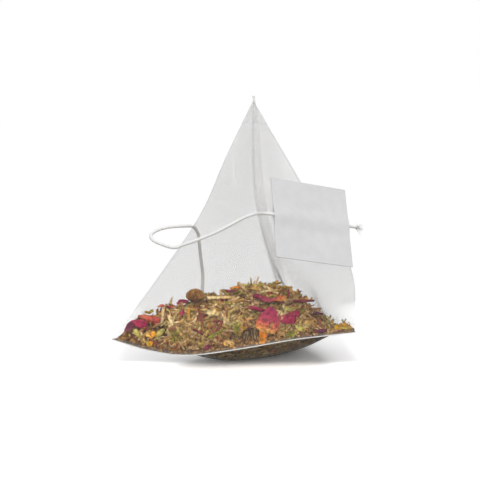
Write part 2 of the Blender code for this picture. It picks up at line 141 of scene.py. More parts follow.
def meshObject(name, verts, faces, material=None, smooth=True, edges=()):
    mesh = bpy.data.meshes.new(name)
    mesh.from_pydata([tuple(v) for v in verts], list(edges), [tuple(f) for f in faces])
    if material:
        mesh.materials.append(material)
    if smooth:
        mesh.shade_smooth()
    return newObject(name, mesh)


def addAttribute(mesh, name, values, kind="FLOAT", field="value"):
    layer = mesh.attributes.new(name, kind, "POINT")
    layer.data.foreach_set(field, np.asarray(values, np.float32).ravel())


def bakeModifiers(piece):
    # turns an object with live modifiers into a plain mesh
    bpy.context.view_layer.update()
    graph = bpy.context.evaluated_depsgraph_get()
    mesh = bpy.data.meshes.new_from_object(piece.evaluated_get(graph))
    piece.modifiers.clear()
    piece.data = mesh
    mesh.name = piece.name
    return piece


def nodeTree(name, given, result):
    # an empty geometry node tree with its named inputs and its one result
    tree = bpy.data.node_groups.new(name, "GeometryNodeTree")
    for socket, kind in given.items():
        tree.interface.new_socket(socket, in_out="INPUT", socket_type="NodeSocket" + kind)
    tree.interface.new_socket(result, in_out="OUTPUT", socket_type="NodeSocketGeometry")
    return tree, addNode(tree, "NodeGroupInput").outputs


def useTree(piece, tree, values):
    modifier = piece.modifiers.new(tree.name, "NODES")
    modifier.node_group = tree
    for item in tree.interface.items_tree:
        if item.item_type == "SOCKET" and item.in_out == "INPUT" and item.name in values:
            modifier[item.identifier] = values[item.name]
    return bakeModifiers(piece)


def closeSheet(mesh):
    # welds a sheet's meeting edges and turns its faces outwards
    bm = bmesh.new()
    bm.from_mesh(mesh)
    bmesh.ops.remove_doubles(bm, verts=bm.verts[:], dist=2e-6)
    bmesh.ops.dissolve_degenerate(bm, edges=bm.edges[:], dist=1e-7)
    bmesh.ops.recalc_face_normals(bm, faces=bm.faces[:])
    if bm.calc_volume(signed=True) < 0:
        bmesh.ops.reverse_faces(bm, faces=bm.faces[:])
    bm.to_mesh(mesh)
    bm.free()


def tubeFaces(rings, sides):
    faces = []
    for i in range(rings - 1):
        for j in range(sides):
            a = i * sides + j
            b = i * sides + (j + 1) % sides
            faces.append((a, b, b + sides, a + sides))
    faces.append(tuple(reversed(range(sides))))
    faces.append(tuple(range((rings - 1) * sides, rings * sides)))
    return faces


def sheetFaces(columns, rows):
    # two skins of a grid, one set of vertices after the other, closed round their rim
    row = rows + 1
    layer = (columns + 1) * row
    faces = []
    for i in range(columns):
        for j in range(rows):
            a = i * row + j
            quad = (a, a + row, a + row + 1, a + 1)
            faces += [quad, tuple(layer + k for k in reversed(quad))]
    rim = [i * row for i in range(columns + 1)]
    rim += [columns * row + j for j in range(1, row)]
    rim += [i * row + rows for i in range(columns - 1, -1, -1)]
    rim += range(rows - 1, 0, -1)
    for a, b in zip(rim, rim[1:] + rim[:1]):
        faces.append((b, a, layer + a, layer + b))
    return faces


def gathered(parts):
    # the vertices, faces and tones of several forms, as those of one
    verts, faces, tones = [], [], []
    for form, formFaces, tone in parts:
        first = len(verts)
        verts += list(form)
        faces += [tuple(first + q for q in face) for face in formFaces]
        tones += list(tone)
    return np.array(verts), faces, tones


def unit(v):
    return v / np.maximum(np.linalg.norm(v, axis=-1, keepdims=True), 1e-12)


def ride(piece, slot, *replaced):
    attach(piece, "root")
    if replaced:
        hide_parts(*replaced)
    return piece


# the flat sheet and how it folds up, as the part has it
bag = {
    "width": 0.058,
    "depth": 0.0556,
    "height": 0.0655,
    "frontFin": 0.0012,
    "backFin": 0.0020,
    "seamYaw": 0.006,
    "leftLift": 0.0098,
    "rightLift": 0.0102,
    "backLift": 0.0095,
    "backX": 0.013,
    "apexX": 0.0046,
    "apexY": 0.0045,
    "earHeight": 0.0012,
    "wallHeight": 0.063,     # seal to opposite corner along a wall, on the flat sheet
}

frontY = -bag["depth"] / 2 + bag["frontFin"]
corners = {
    "left": np.array((-bag["width"] / 2, frontY, bag["leftLift"])),
    "right": np.array((bag["width"] / 2, frontY + bag["seamYaw"], bag["rightLift"])),
    "back": np.array((bag["backX"], bag["depth"] / 2 - bag["backFin"], bag["backLift"])),
    "apex": np.array((bag["apexX"], bag["apexY"], bag["height"])),
}
bagMiddle = sum(corners.values()) / 4

# how far each edge bends from a straight line, at shares of its length
edgeBends = {
    ("left", "right"): [
        (0.15, (0.0, -0.0004, -0.0028)), (0.30, (0.0, -0.0006, -0.0042)),
        (0.50, (0.0, -0.0006, -0.0032)), (0.75, (0.0, -0.0003, -0.0012)),
    ],
    ("left", "apex"): [
        (0.22, (0.0022, 0.0010, 0.0)), (0.50, (0.0036, 0.0018, 0.0)),
        (0.75, (0.0015, 0.0008, 0.0)),
    ],
    ("right", "apex"): [(0.28, (0.0058, -0.0020, 0.0)), (0.65, (0.0028, -0.0010, 0.0))],
    ("back", "apex"): [
        (0.15, (-0.0010, 0.0, 0.0)), (0.38, (-0.0027, 0.0006, 0.0)),
        (0.62, (-0.0028, 0.0006, 0.0)),
    ],
    ("left", "back"): [(0.50, (0.0010, -0.0010, -0.0030))],
    ("right", "back"): [(0.50, (0.0012, 0.0, -0.0026))],
}

# each wall's corners and how far it swells out
walls = {
    "front": (("left", "right", "apex"), 0.0016),
    "right": (("right", "apex", "back"), -0.0016),
    "bottom": (("right", "left", "back"), 0.0246),
    "left": (("left", "back", "apex"), -0.0010),
}
bellyShape = {"left": 0.82, "right": 0.78, "back": 2.33}
bellyFullness = 3.4      # how soon the swell of the bottom wall levels out
evenSwell = 27.0         # makes the product of three equal shares one

# dents of the right wall: place round and up the bag, radius and depth
wallDents = [(2.10, 0.36, 0.20, 0.0022), (1.95, 0.62, 0.16, -0.0008), (2.55, 0.80, 0.10, 0.0012)]


def hermite(start, end, leaving, arriving, t):
    return (
        start * (1 + 2 * t) * (1 - t) ** 2
        + leaving * t * (1 - t) ** 2
        + end * t * t * (3 - 2 * t)
        + arriving * t * t * (t - 1)
    )


def through(knots, share):
    # smooth curve through (share, offset) knots, read at many shares
    steps = np.array([0.0] + [k[0] for k in knots] + [1.0])
    values = np.array([(0.0, 0.0, 0.0)] + [k[1] for k in knots] + [(0.0, 0.0, 0.0)])
    slopes = np.empty_like(values)
    for i in range(len(steps)):
        a = max(i - 1, 0)
        b = min(i + 1, len(steps) - 1)
        slopes[i] = (values[b] - values[a]) / (steps[b] - steps[a])
    i = np.clip(np.searchsorted(steps, share, side="left") - 1, 0, len(steps) - 2)
    span = (steps[i + 1] - steps[i])[:, None]
    t = (share - steps[i])[:, None] / span
    return hermite(values[i], values[i + 1], slopes[i] * span, slopes[i + 1] * span, t)


def edgePoints(first, second, share):
    straight = corners[first] + (corners[second] - corners[first]) * share[:, None]
    return straight + through(edgeBends[(first, second)], share)


def wallNormal(names):
    a, b, c = (corners[name] for name in names)
    normal = unit(np.cross(b - a, c - a))
    return -normal if normal @ (a - bagMiddle) < 0 else normal


def wallShares(wall, u, v):
    # how near a place on the flat sheet is to each corner of its wall
    if wall == "front":
        right = (u - v) / 2
        return {"left": 1 - right - v, "right": right, "apex": v}
    if wall == "right":
        back = (u - 2 + v) / 2
        return {"right": 1 - v, "apex": v - back, "back": back}
    if wall == "bottom":
        left = (u - 2 - v) / 2
        return {"right": 1 - left - v, "left": left, "back": v}
    apex = (u - 4 + v) / 2
    return {"left": 1 - v, "back": v - apex, "apex": apex}


def bagPoints(u, v):
    # u runs round the bag in half seals, 0 to 4, and v from the front seal to the back one
    u = np.mod(np.asarray(u, float), 4.0)
    v = np.clip(np.asarray(v, float), 0.0, 1.0)
    u = np.where(u < v - 1e-9, u + 4.0, u)
    front = u <= 2 - v
    right = (u > 2 - v) & (u < 2 + v)
    bottom = ~front & ~right & (u <= 4 - v)
    masks = {"front": front, "right": right, "bottom": bottom, "left": ~(front | right | bottom)}
    out = np.zeros((len(u), 3))
    for wall, mask in masks.items():
        if not mask.any():
            continue
        names, swell = walls[wall]
        shares = wallShares(wall, u[mask], v[mask])
        place = np.zeros((mask.sum(), 3))
        product = np.full(mask.sum(), evenSwell)
        for corner, share in shares.items():
            place += corners[corner] * share[:, None]
            product *= np.maximum(share, 0.0) ** (bellyShape[corner] if wall == "bottom" else 1.0)
        for (first, second), knots in edgeBends.items():
            if first in shares and second in shares:
                both = shares[first] + shares[second]
                along = np.clip(shares[second] / np.maximum(both, 1e-6), 0.0, 1.0)
                place += through(knots, along) * (both ** 2)[:, None]
        if wall == "bottom":
            product = (1 - np.exp(-bellyFullness * product)) / bellyFullness
        push = swell * product
        if wall == "right":
            for dentU, dentV, radius, depth in wallDents:
                away = ((u[mask] - dentU) ** 2 + (v[mask] - dentV) ** 2) / radius ** 2
                push = push - depth * np.exp(-away) * np.minimum(1.0, product * 2)
        out[mask] = place + wallNormal(names) * push[:, None]
    out[:, 2] = np.maximum(out[:, 2], 0.0)
    return out


def bagNormals(u, v, step=0.004):
    u = np.mod(u, 4.0)
    alongU = bagPoints(u + step, v) - bagPoints(u - step, v)
    alongV = bagPoints(u, np.minimum(v + step, 1)) - bagPoints(u, np.maximum(v - step, 0))
    normal = unit(np.cross(alongU, alongV))
    outward = bagPoints(u, v) - bagMiddle
    return normal * np.where((normal * outward).sum(1) < 0, -1.0, 1.0)[:, None]


def foldDistance(u, v):
    # distance in metres, on the flat sheet, to the nearest of the four folds
    half = bag["width"] / 2
    best = np.full(len(u), 1.0)
    for foot, lean in ((0, 1), (4, 1), (2, -1), (2, 1), (4, -1), (0, -1)):
        gap = np.abs(u - foot - lean * v) * half
        best = np.minimum(best, gap * math.cos(math.atan(half / bag["wallHeight"])))
    return best


def sheetGrid(cells, inset=0.0):
    # the sheet as a folded grid, split along its folds; inset moves it inwards
    columns = 4 * cells
    u, v = np.meshgrid(np.arange(columns + 1) / cells, np.arange(cells + 1) / cells)
    u, v = u.ravel(), v.ravel()
    points = bagPoints(u, v)
    if inset:
        # shallower within 4 mm of seals and folds, so that the walls of the core never cross
        edge = np.minimum(np.minimum(v, 1 - v) * bag["wallHeight"], foldDistance(u, v))
        depth = inset * np.clip(edge / 0.004, 0.2, 1.0)
        points = points - bagNormals(u, v) * depth[:, None]
        rows = points.reshape(cells + 1, columns + 1, 3)
        rows[0] = (rows[0] + rows[0][::-1]) / 2
        opposite = (2 * cells - np.arange(columns + 1)) % columns
        rows[-1] = (rows[-1] + rows[-1][opposite]) / 2
        points = rows.reshape(-1, 3)
    faces = []
    for j in range(cells):
        for i in range(columns):
            a = j * (columns + 1) + i
            b, c, d = a + 1, a + columns + 2, a + columns + 1
            if i == j or i == 2 * cells + j:
                faces += [(a, b, c), (a, c, d)]
            elif i + j == 2 * cells - 1 or i + j == 4 * cells - 1:
                faces += [(a, b, d), (b, c, d)]
            else:
                faces.append((a, b, c, d))
    return u, v, points, faces


view = {
    "distance": 0.290,
    "lookX": 0.0012,
    "lookZ": 0.030,
    "elevation": math.radians(7.0),
    "lens": 85.0,
    "sensor": 36.0,
}


def buildCamera():
    data = bpy.data.cameras.new("camera")
    data.lens = view["lens"]
    data.sensor_width = view["sensor"]
    data.clip_start = 0.01
    camera = newObject("camera", data)
    camera.location = (
        view["lookX"],
        -view["distance"] * math.cos(view["elevation"]),
        view["lookZ"] + view["distance"] * math.sin(view["elevation"]),
    )
    camera.rotation_euler = (math.pi / 2 - view["elevation"], 0.0, 0.0)
    bpy.context.scene.camera = camera


stage = {
    "floorSize": 6.0,
    "floorDrop": 1e-4,
    "floorSeen": 1.15,       # paper white to the camera, so that only the shadow shows on it
    "floorNearPaintedLight": 4.0,        # painted light: brighter before the bag, so that the shadow falling there washes out
    "floorAsidePaintedLight": 1.2,       # and painted light at its sides as well
    # where the painted light comes in: before the bag, at its sides, and where that at the sides ends
    # behind it
    "paintedNearRange": (-0.0150, -0.0055),
    "paintedAsideRange": (0.028, 0.042),
    "paintedAsideEndRange": (0.055, 0.085),
    "floorLit": 0.22,
    "worldLit": 0.38,
    "lamps": {
        "key": {"from": (0.03, -0.90, 0.33), "angle": math.radians(24), "power": 1.50},
        "top": {"from": (0.06, -0.22, 0.97), "angle": math.radians(45), "power": 1.10},
    },
}


def seenDirectly(tree):
    # 1 for camera, mirror and see-through rays, 0 for the light that reaches the object
    path = addNode(tree, "ShaderNodeLightPath").outputs
    either = addMath(tree, "MAXIMUM", path["Is Camera Ray"], path["Is Glossy Ray"])
    return addMath(tree, "MAXIMUM", either, path["Is Transmission Ray"])


def twoLevels(tree, lit, seen, output):
    # one shader for the light on the object and another for what the camera sees
    mix = addNode(tree, "ShaderNodeMixShader", {}, {
        0: seenDirectly(tree), 1: lit.outputs[0], 2: seen.outputs[0]})
    addNode(tree, output, {}, {"Surface": mix.outputs[0]})


def floorLevel(tree):
    # how bright the floor looks: paper white, with painted light before the bag and at its sides that
    # washes out the shadow there, so that a shadow shows under and behind the bag alone
    place = addNode(tree, "ShaderNodeTexCoord").outputs["Object"]
    split = addNode(tree, "ShaderNodeSeparateXYZ", {}, {0: place}).outputs
    aside = addMath(tree, "ABSOLUTE", split["X"])
    near = addRange(tree, split["Y"], *stage["paintedNearRange"], stage["floorNearPaintedLight"], stage["floorSeen"],
                    "SMOOTHSTEP")
    wide = addRange(tree, aside, *stage["paintedAsideRange"], 0.0, 1.0, "SMOOTHSTEP")
    close = addRange(tree, split["Y"], *stage["paintedAsideEndRange"], stage["floorAsidePaintedLight"], 0.0, "SMOOTHSTEP")
    return addMath(tree, "MULTIPLY_ADD", wide, close, near)


def emptyTree(owner):
    owner.use_nodes = True
    owner.node_tree.nodes.clear()
    return owner.node_tree


def buildStage():
    paper = bpy.data.materials.new("paperSweep")
    tree = emptyTree(paper)
    lit = stage["floorLit"]
    # the floor the camera sees carries the painted light; the plain one lights the object
    bright = addNode(tree, "ShaderNodeBsdfDiffuse", {}, {"Color": floorLevel(tree)})
    plain = addNode(tree, "ShaderNodeBsdfDiffuse", {}, {"Color": (lit, lit, lit, 1)})
    twoLevels(tree, plain, bright, "ShaderNodeOutputMaterial")
    half = stage["floorSize"] / 2
    turns = ((-1, -1), (1, -1), (1, 1), (-1, 1))
    ends = [(x * half, y * half, -stage["floorDrop"]) for x, y in turns]
    floor = meshObject("floor", ends, [(0, 1, 2, 3)], paper, smooth=False)

    world = bpy.data.worlds.new("studio")
    bpy.context.scene.world = world
    tree = emptyTree(world)
    back, soft = (addNode(tree, "ShaderNodeBackground", {}, {
        "Color": (1, 1, 1, 1), "Strength": strength}) for strength in (1.0, stage["worldLit"]))
    twoLevels(tree, soft, back, "ShaderNodeOutputWorld")

    for name, lamp in stage["lamps"].items():
        data = bpy.data.lights.new(name, "SUN")
        data.angle = lamp["angle"]
        data.energy = lamp["power"]
        aim = Vector(lamp["from"]).to_track_quat("Z", "Y").to_euler()
        newObject(name, data).rotation_euler = aim
    bpy.context.scene.view_settings.view_transform = "Standard"


# a fine nylon cloth, thread by thread, with a haze of its finest fibres
gauze = {
    "threadPitch": 0.00030,
    "threadWidth": 0.000026,
    "pointSpacing": 0.0013,
    "cutEnd": 0.002,         # a fold nearer a thread's end than this share gets no point
    "cutRoom": 0.4,          # plain points keep this share of their spacing from a fold
    "layerGap": 0.00005,     # warp lies outside, weft inside
    "cloth": 70,             # cells from seal to seal
    "clothThickness": 0.00002,
    "clothAlpha": 0.010,
    "foldAlpha": 0.05,
    "foldReach": 0.00035,
    "weldAlpha": 0.12,
    "weldReach": 0.0003,
}


def nylonThread():
    # extruded nylon monofilament: clear grey-white, a little shiny along each thread
    settings = {"Roughness": 0.42, "IOR": 1.53, "Specular IOR Level": 0.35}
    stops = [(0.3, "86857f"), (0.7, "95948f")]
    return cloudyMaterial("nylonMonofilament", settings, 90.0, 2.0, stops)[0]


def nylonHaze():
    # the same nylon, seen as a haze: denser where it is folded, milky where it is welded
    made, tree, shader = newMaterial("nylonGauzeHaze", {"Roughness": 0.55, "IOR": 1.53})
    weld = readAttribute(tree, "weld")
    fold = readAttribute(tree, "fold")
    uneven = addRange(tree, addNoise(tree, 240.0, 3.0), 0.0, 1.0, 0.7, 1.3)
    folded = addMath(tree, "MULTIPLY_ADD", fold, gauze["foldAlpha"], gauze["clothAlpha"])
    welded = addMath(tree, "MULTIPLY_ADD", weld, gauze["weldAlpha"], folded)
    plugIn(tree, shader, {
        "Alpha": addMath(tree, "MULTIPLY", welded, uneven, clamp=True),
        "Base Color": addRamp(tree, weld, [(0.0, "b4b3ae"), (0.8, "ecebe8")]),
    })
    return made


def buildCloth():
    u, v, points, faces = sheetGrid(gauze["cloth"])
    cloth = meshObject("gauze_cloth", points, faces, nylonHaze())
    fromSeal = np.minimum(v, 1 - v) * bag["wallHeight"]
    addAttribute(cloth.data, "weld", np.exp(-(fromSeal / gauze["weldReach"]) ** 2))
    addAttribute(cloth.data, "fold", np.exp(-(foldDistance(u, v) / gauze["foldReach"]) ** 2))
    closeSheet(cloth.data)
    thicken = cloth.modifiers.new("thickness", "SOLIDIFY")
    thicken.thickness = gauze["clothThickness"]
    thicken.offset = -1.0
    cloth.visible_shadow = False     # too faint to shade anything
    cloth.visible_diffuse = False
    return bakeModifiers(cloth)


def threadTree():
    # geometry nodes: every guide line becomes a fine three-sided thread
    tree, given = nodeTree("gauzeThreads", {
        "Guides": "Geometry", "Thread Width": "Float", "Finish": "Material"}, "Threads")
    lines = addNode(tree, "GeometryNodeMeshToCurve", {}, {"Mesh": given["Guides"]})
    ring = addNode(tree, "GeometryNodeCurvePrimitiveCircle", {}, {
        "Resolution": 3, "Radius": addMath(tree, "MULTIPLY", given["Thread Width"], 0.5)})
    tube = addNode(tree, "GeometryNodeCurveToMesh", {}, {
        "Curve": lines.outputs["Curve"],
        "Profile Curve": ring.outputs["Curve"],
        "Fill Caps": True,
    })
    smooth = addNode(tree, "GeometryNodeSetShadeSmooth", {}, {"Geometry": tube.outputs["Mesh"]})
    real = addNode(tree, "GeometryNodeRealizeInstances", {}, {
        "Geometry": smooth.outputs["Geometry"]})
    finish = addNode(tree, "GeometryNodeSetMaterial", {}, {
        "Geometry": real.outputs["Geometry"], "Material": given["Finish"]})
    addNode(tree, "NodeGroupOutput", {}, {"Threads": finish.outputs["Geometry"]})
    return tree


def buildThreads(name, lean, depth, tree, finish):
    # threads at 45 degrees on the flat sheet, each from seal to seal, with a point on each fold
    perHalfSeal = bag["width"] / 2
    slope = lean * bag["wallHeight"] / perHalfSeal
    count = round(4 * perHalfSeal / (gauze["threadPitch"] * math.sqrt(2)))
    steps = round(bag["wallHeight"] * math.sqrt(2) / gauze["pointSpacing"])
    us, vs, edges = [], [], []
    for k in range(count):
        start = 4 * k / count
        cuts = [(foot - start) / (slope - side) for foot in range(-4, 9, 2) for side in (1, -1)]
        cuts = [cut for cut in cuts if gauze["cutEnd"] < cut < 1 - gauze["cutEnd"]]
        plain = [i / steps for i in range(steps + 1)]
        plain = [p for p in plain if all(abs(p - c) > gauze["cutRoom"] / steps for c in cuts)]
        line = sorted(plain + cuts)
        first = len(us)
        us += [start + slope * p for p in line]
        vs += line
        edges += [(first + i, first + i + 1) for i in range(len(line) - 1)]
    u, v = np.array(us), np.array(vs)
    points = bagPoints(u, v) - bagNormals(u, v) * depth
    threads = meshObject(name, points, [], smooth=False, edges=edges)
    threads.visible_shadow = False   # finer than the light is sharp, so it shades nothing
    return useTree(threads, tree, {"Thread Width": gauze["threadWidth"], "Finish": finish})


seal = {
    "stations": 150,
    "thickness": 0.00020,
    "crimpPitch": 0.0009,
    "crimpHeight": 0.00002,
    "edgeWave": 0.00012,
    "waves": (2300, 970),    # of the cut edge, in radians for each metre
    "earReach": 60,          # power that keeps the ear's density at its end
    "earAlpha": 0.35,
    "section": ((-0.2, 0.6), (0.0, 1.0), (0.45, 1.0), (0.9, 0.9), (1.0, 0.35)),
}


def weldedNylon(name, alpha):
    # nylon melted to a milky strip by the sealing bar: whiter and glossier than the cloth
    settings = {"Roughness": 0.30, "IOR": 1.53, "Alpha": alpha}
    stops = [(0.3, "dcdbd7"), (0.65, "f4f3f1")]
    made, tree, shader = cloudyMaterial(name, settings, 900.0, 2.0, stops, (0.35, 0.00004))
    if alpha < 1:
        ear = readAttribute(tree, "ear")
        thick = addMath(tree, "MULTIPLY_ADD", ear, seal["earAlpha"], alpha)
        plugIn(tree, shader, {"Alpha": thick})
    return made


def buildSeal(name, first, second, width, after, lean, finish):
    # crimped strip outside a seal, swept from corner to corner and leaning to one side
    share = np.linspace(0, 1, seal["stations"] + 1)
    path = edgePoints(first, second, share)
    path[-1] += unit(corners[second] - corners[first]) * after
    sides = [names for names, swell in walls.values() if first in names and second in names]
    outward = unit(unit(sum(wallNormal(names) for names in sides) * (1, 1, 0)) + lean)
    across = unit(np.cross(np.gradient(path, axis=0), outward))
    travelled = share * np.linalg.norm(corners[second] - corners[first])
    crimp = seal["crimpHeight"] * np.sin(travelled / seal["crimpPitch"] * 2 * math.pi)
    fast, slow = seal["waves"]
    rim = width + seal["edgeWave"] * np.sin(travelled * fast) * np.sin(travelled * slow + 1)
    if after:
        # wide at the foot and drawn together at the apex
        rim = rim * (1.25 - 0.95 * share ** 6 + 0.35 * (1 - share))
    loop = list(seal["section"]) + [(x, -y) for x, y in reversed(seal["section"])]
    rings = []
    for x, y in loop:
        side = seal["thickness"] / 2 * y + crimp * (0 < x < 0.95)
        rings.append(path + outward * (rim * x)[:, None] + across * side[:, None])
    points = np.stack(rings, 1).reshape(-1, 3)
    strip = meshObject(name, points, tubeFaces(len(share), len(loop)), finish)
    ear = share ** seal["earReach"] if after else share * 0
    addAttribute(strip.data, "ear", np.repeat(ear, len(loop)))
    closeSheet(strip.data)
    return strip


# the form of the heap: heights in metres, places as shares of the bag's width and depth
heap = {
    "top": 0.0168,
    "crestX": 0.07,
    "crestY": 0.108,
    "frontFall": 0.0160,
    "backFall": 0.0433,
    "leftFall": 0.101,
    "leftStart": -0.241,
    "rightFall": 0.125,
    "rightStart": 0.172,
    "cornerFall": 3.0,
    "cornerStart": 0.40,
    "leftSweep": 1.57,
    "rightSweep": 2.90,
    "bedDepth": 0.0013,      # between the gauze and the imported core
    "bedSunk": 0.0002,       # and this much more under the loose pieces on top
    "bedThinnest": 0.0003,
    "bedCells": 44,
    "lump": 0.0007,
    "rimReach": 0.0022,      # finest tea caught along the front seal
    "cornerTop": 0.0106,
    "wallLine": (-0.024, -0.0233, 0.065),    # x and y of the front wall's foot, and its slope
    "pressedTop": 0.0160,    # how high the tea stands against the front wall
    "pressedDepth": 0.0024,
    "pressedMiddle": -0.07,
    "pressedFall": 0.166,
    "pressedStart": 0.25,
}


def heapHeight(x, y):
    footX, footY, slope = heap["wallLine"]
    fromWall = y - footY - slope * (x - footX)
    x = x / bag["width"]
    y = y / bag["depth"]
    height = heap["top"] - heap["leftFall"] * np.minimum(x - heap["leftStart"], 0.0) ** 2
    height = height - heap["rightFall"] * np.maximum(x - heap["rightStart"], 0.0) ** 2
    height = height - heap["cornerFall"] * np.maximum(x - heap["cornerStart"], 0.0) ** 2
    sweep = np.where(x < heap["crestX"], heap["leftSweep"], heap["rightSweep"])
    crest = heap["crestY"] - sweep * (x - heap["crestX"]) ** 2
    fall = np.where(y < crest, heap["frontFall"], heap["backFall"])
    height = height - fall * (y - crest) ** 2
    beyond = np.maximum(np.abs(x - heap["pressedMiddle"]) - heap["pressedStart"], 0.0)
    pressed = heap["pressedTop"] - heap["pressedFall"] * beyond ** 2
    near = np.exp(-(np.maximum(fromWall, 0.0) / heap["pressedDepth"]) ** 2)
    height = height + near * np.maximum(pressed - height, 0.0)
    return height + heap["lump"] * np.sin(x * 31 + y * 13) * np.cos(y * 37 - x * 21)


def packedHerb():
    # the imported core: crushed leaf and stalk, seen only through gaps; its colour is darkened with
    # painted shade for those gaps
    made, tree, shader = newMaterial("packedHerb", {"Roughness": 0.95, "Specular IOR Level": 0.2})
    place = addNode(tree, "ShaderNodeTexCoord").outputs["Object"]
    bits = addNode(tree, "ShaderNodeTexVoronoi", {}, {"Vector": place, "Scale": 1500.0}).outputs
    tint = addRamp(tree, bits["Color"], [
        (0.1, "2c1a0a"), (0.35, "62401f"), (0.5, "7f5c2c"), (0.65, "4a2e17"), (0.9, "a07840")])
    # painted shade: each bit darker towards its rim, as between bits in the gaps
    edge = addRange(tree, bits["Distance"], 0.2, 0.7, 1.0, 0.35)
    lift = addMath(tree, "MULTIPLY_ADD", readAttribute(tree, "rim"), 2.2, 1.0)
    plugIn(tree, shader, {
        "Base Color": addScale(tree, tint, addMath(tree, "MULTIPLY", edge, lift)),
        "Normal": addBump(tree, edge, 0.8, 0.0003),
    })
    return made


def buildBed(room, finish):
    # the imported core: the bag's own form, cut off level with the heap
    u, v, points, faces = sheetGrid(heap["bedCells"], heap["bedDepth"])
    top = heapHeight(points[:, 0], points[:, 1]) - heap["bedDepth"] - heap["bedSunk"]
    for i in np.nonzero(points[:, 2] > top)[0]:
        x, y, z = points[i]
        floor = room.ray_cast(Vector((x, y, -0.01)), Vector((0, 0, 1)))[0]
        lowest = min(floor.z + heap["bedThinnest"], heap["cornerTop"]) if floor else z
        points[i, 2] = min(z, max(top[i], lowest))
    bed = meshObject("tea_bed", points, faces, finish)
    addAttribute(bed.data, "rim", np.exp(-(v * bag["wallHeight"] / heap["rimReach"]) ** 2))
    closeSheet(bed.data)
    return bed


def surfaceTree(mesh):
    return BVHTree.FromPolygons(
        [vert.co.copy() for vert in mesh.vertices],
        [tuple(face.vertices) for face in mesh.polygons],
    )


def makeRoom(cells=40):
    # the inside of the gauze, as a surface that distances are read from
    points, faces = sheetGrid(cells)[2:]
    shell = meshObject("roomShell", points, faces)
    closeSheet(shell.data)
    room = surfaceTree(shell.data)
    bpy.data.objects.remove(shell)
    return room


def depthIn(room, point):
    # how deep a point lies inside the gauze, and the way out
    near, normal = room.find_nearest(Vector(point))[:2]
    return -(Vector(point) - near).dot(normal), np.array(normal)


def tightest(room, points, margin):
    # how much the most crowded of some points lacks of its margin, and the way out there
    worst, way = 0.0, None
    for point in points:
        deep, out = depthIn(room, point)
        if margin - deep > worst:
            worst, way = margin - deep, out
    return worst, way


# how pieces of tea keep to the inside of the gauze and to each other
loose = {
    "clearance": 0.00012,    # between the gauze and any corner of a piece
    "margin": 0.00018,       # between the gauze and a scattered piece's own thickness
    "sunk": 0.0006,          # how deep the scattered pieces on top settle
    "tries": 7,
    "shorten": 0.9,          # of a piece's length, each time that it has to be moved
    "bendSize": 0.004,
    "bendSeed": 3.0,
    "bendShare": 0.3,        # of a kind's bend that its margin allows for
    "seed": 99,
    "levelFrom": 0.019,      # beyond this x the heap is so low that pieces lie flat
    "flatter": 0.25,
    "steepest": 1.2,
    "roll": 0.25,            # how far a piece rolls about its length
    "guardGap": 0.0002,      # from the pieces that nothing loose lies over
    "mottle": 0.22,
    "frontShare": 1.6,       # more pieces where the heap faces the front, fewer underneath
    "underShare": 0.45,
}

# kinds of scattered tea: lengths, widths, lifts, rises above the heap and bends in metres
teaKinds = {
    "tea_dust": {
        "pattern": "crumb", "count": 2400, "slot": "herb_leaf", "length": (0.0003, 0.0007),
        "width": (0.00025, 0.0005), "flat": 0.8, "stand": 0.5, "rise": 0.0004,
        "lift": (-0.0001, 0.0003), "tilt": 0.5, "bend": 0.0,
        "colours": "6b4a2c b28b50 d9b478 9c8446 f0dcae",
    },
    "tea_crumbs": {
        "pattern": "crumb", "count": 1900, "slot": "herb_leaf", "length": (0.0006, 0.0016),
        "width": (0.0005, 0.0012), "flat": 0.7, "stand": 0.6, "rise": 0.0009,
        "lift": (-0.0002, 0.0006), "tilt": 0.8, "bend": 0.0,
        "colours": "5f432b a17c48 cda66c a39150 ead2a0",
    },
    "tea_flakes": {
        "pattern": "flake", "count": 1700, "slot": "leaf_flake", "length": (0.0018, 0.0040),
        "width": (0.0009, 0.0021), "flat": 0.6, "stand": 0.0, "rise": 0.0018,
        "lift": (0.0, 0.0008), "tilt": 0.4, "bend": 0.0006,
        "colours": "75632f a8964c d3b072 ecd4a0 b97a4a 8c4b35",
        "stops": (0.0, 0.2, 0.45, 0.7, 0.85, 1.0),
    },
    "tea_stems": {
        "pattern": "stem", "count": 2700, "slot": "herb_stem", "length": (0.0034, 0.0082),
        "width": (0.00055, 0.00115), "flat": 0.75, "stand": 0.0, "rise": 0.0020,
        "lift": (0.0001, 0.0010), "tilt": 0.25, "bend": 0.0008,
        "colours": "5a3a2a c9a26b 7c7436 f0d6a4 84463a b9a163",
    },
    "tea_needles": {
        "pattern": "needle", "count": 1900, "slot": "herb_stem", "length": (0.0022, 0.0056),
        "width": (0.00022, 0.00038), "flat": 1.0, "stand": 0.0, "rise": 0.0024,
        "lift": (0.0003, 0.0010), "tilt": 0.35, "bend": 0.0009,
        "colours": "6b4a2c d6b375 9a9150 efd6a2 7c4334",
    },
    "tea_petal_bits": {
        "pattern": "petal", "count": 80, "slot": "rose_petal", "length": (0.0014, 0.0030),
        "width": (0.0009, 0.0018), "flat": 0.7, "stand": 0.0, "rise": 0.0014,
        "lift": (0.0002, 0.0008), "tilt": 0.4, "bend": 0.0008,
        "colours": "63303a 8f4450 b5685a d9a070",
        "stops": (0.0, 0.4, 0.7, 1.0),
    },
    "tea_yellow_bits": {
        "pattern": "petal", "count": 170, "slot": "dried_flower", "length": (0.0012, 0.0028),
        "width": (0.0007, 0.0013), "flat": 0.7, "stand": 0.0, "rise": 0.0014,
        "lift": (0.0003, 0.0009), "tilt": 0.4, "bend": 0.0007,
        "colours": "cc9236 e9c274 f3e0b2 c3b462",
        "stops": (0.0, 0.4, 0.7, 1.0),
    },
}


def colourStops(colours, places=None):
    # a row of colours with their places, evenly spread unless they are given
    codes = colours.split()
    return list(zip(places or np.linspace(0, 1, len(codes)).tolist(), codes))


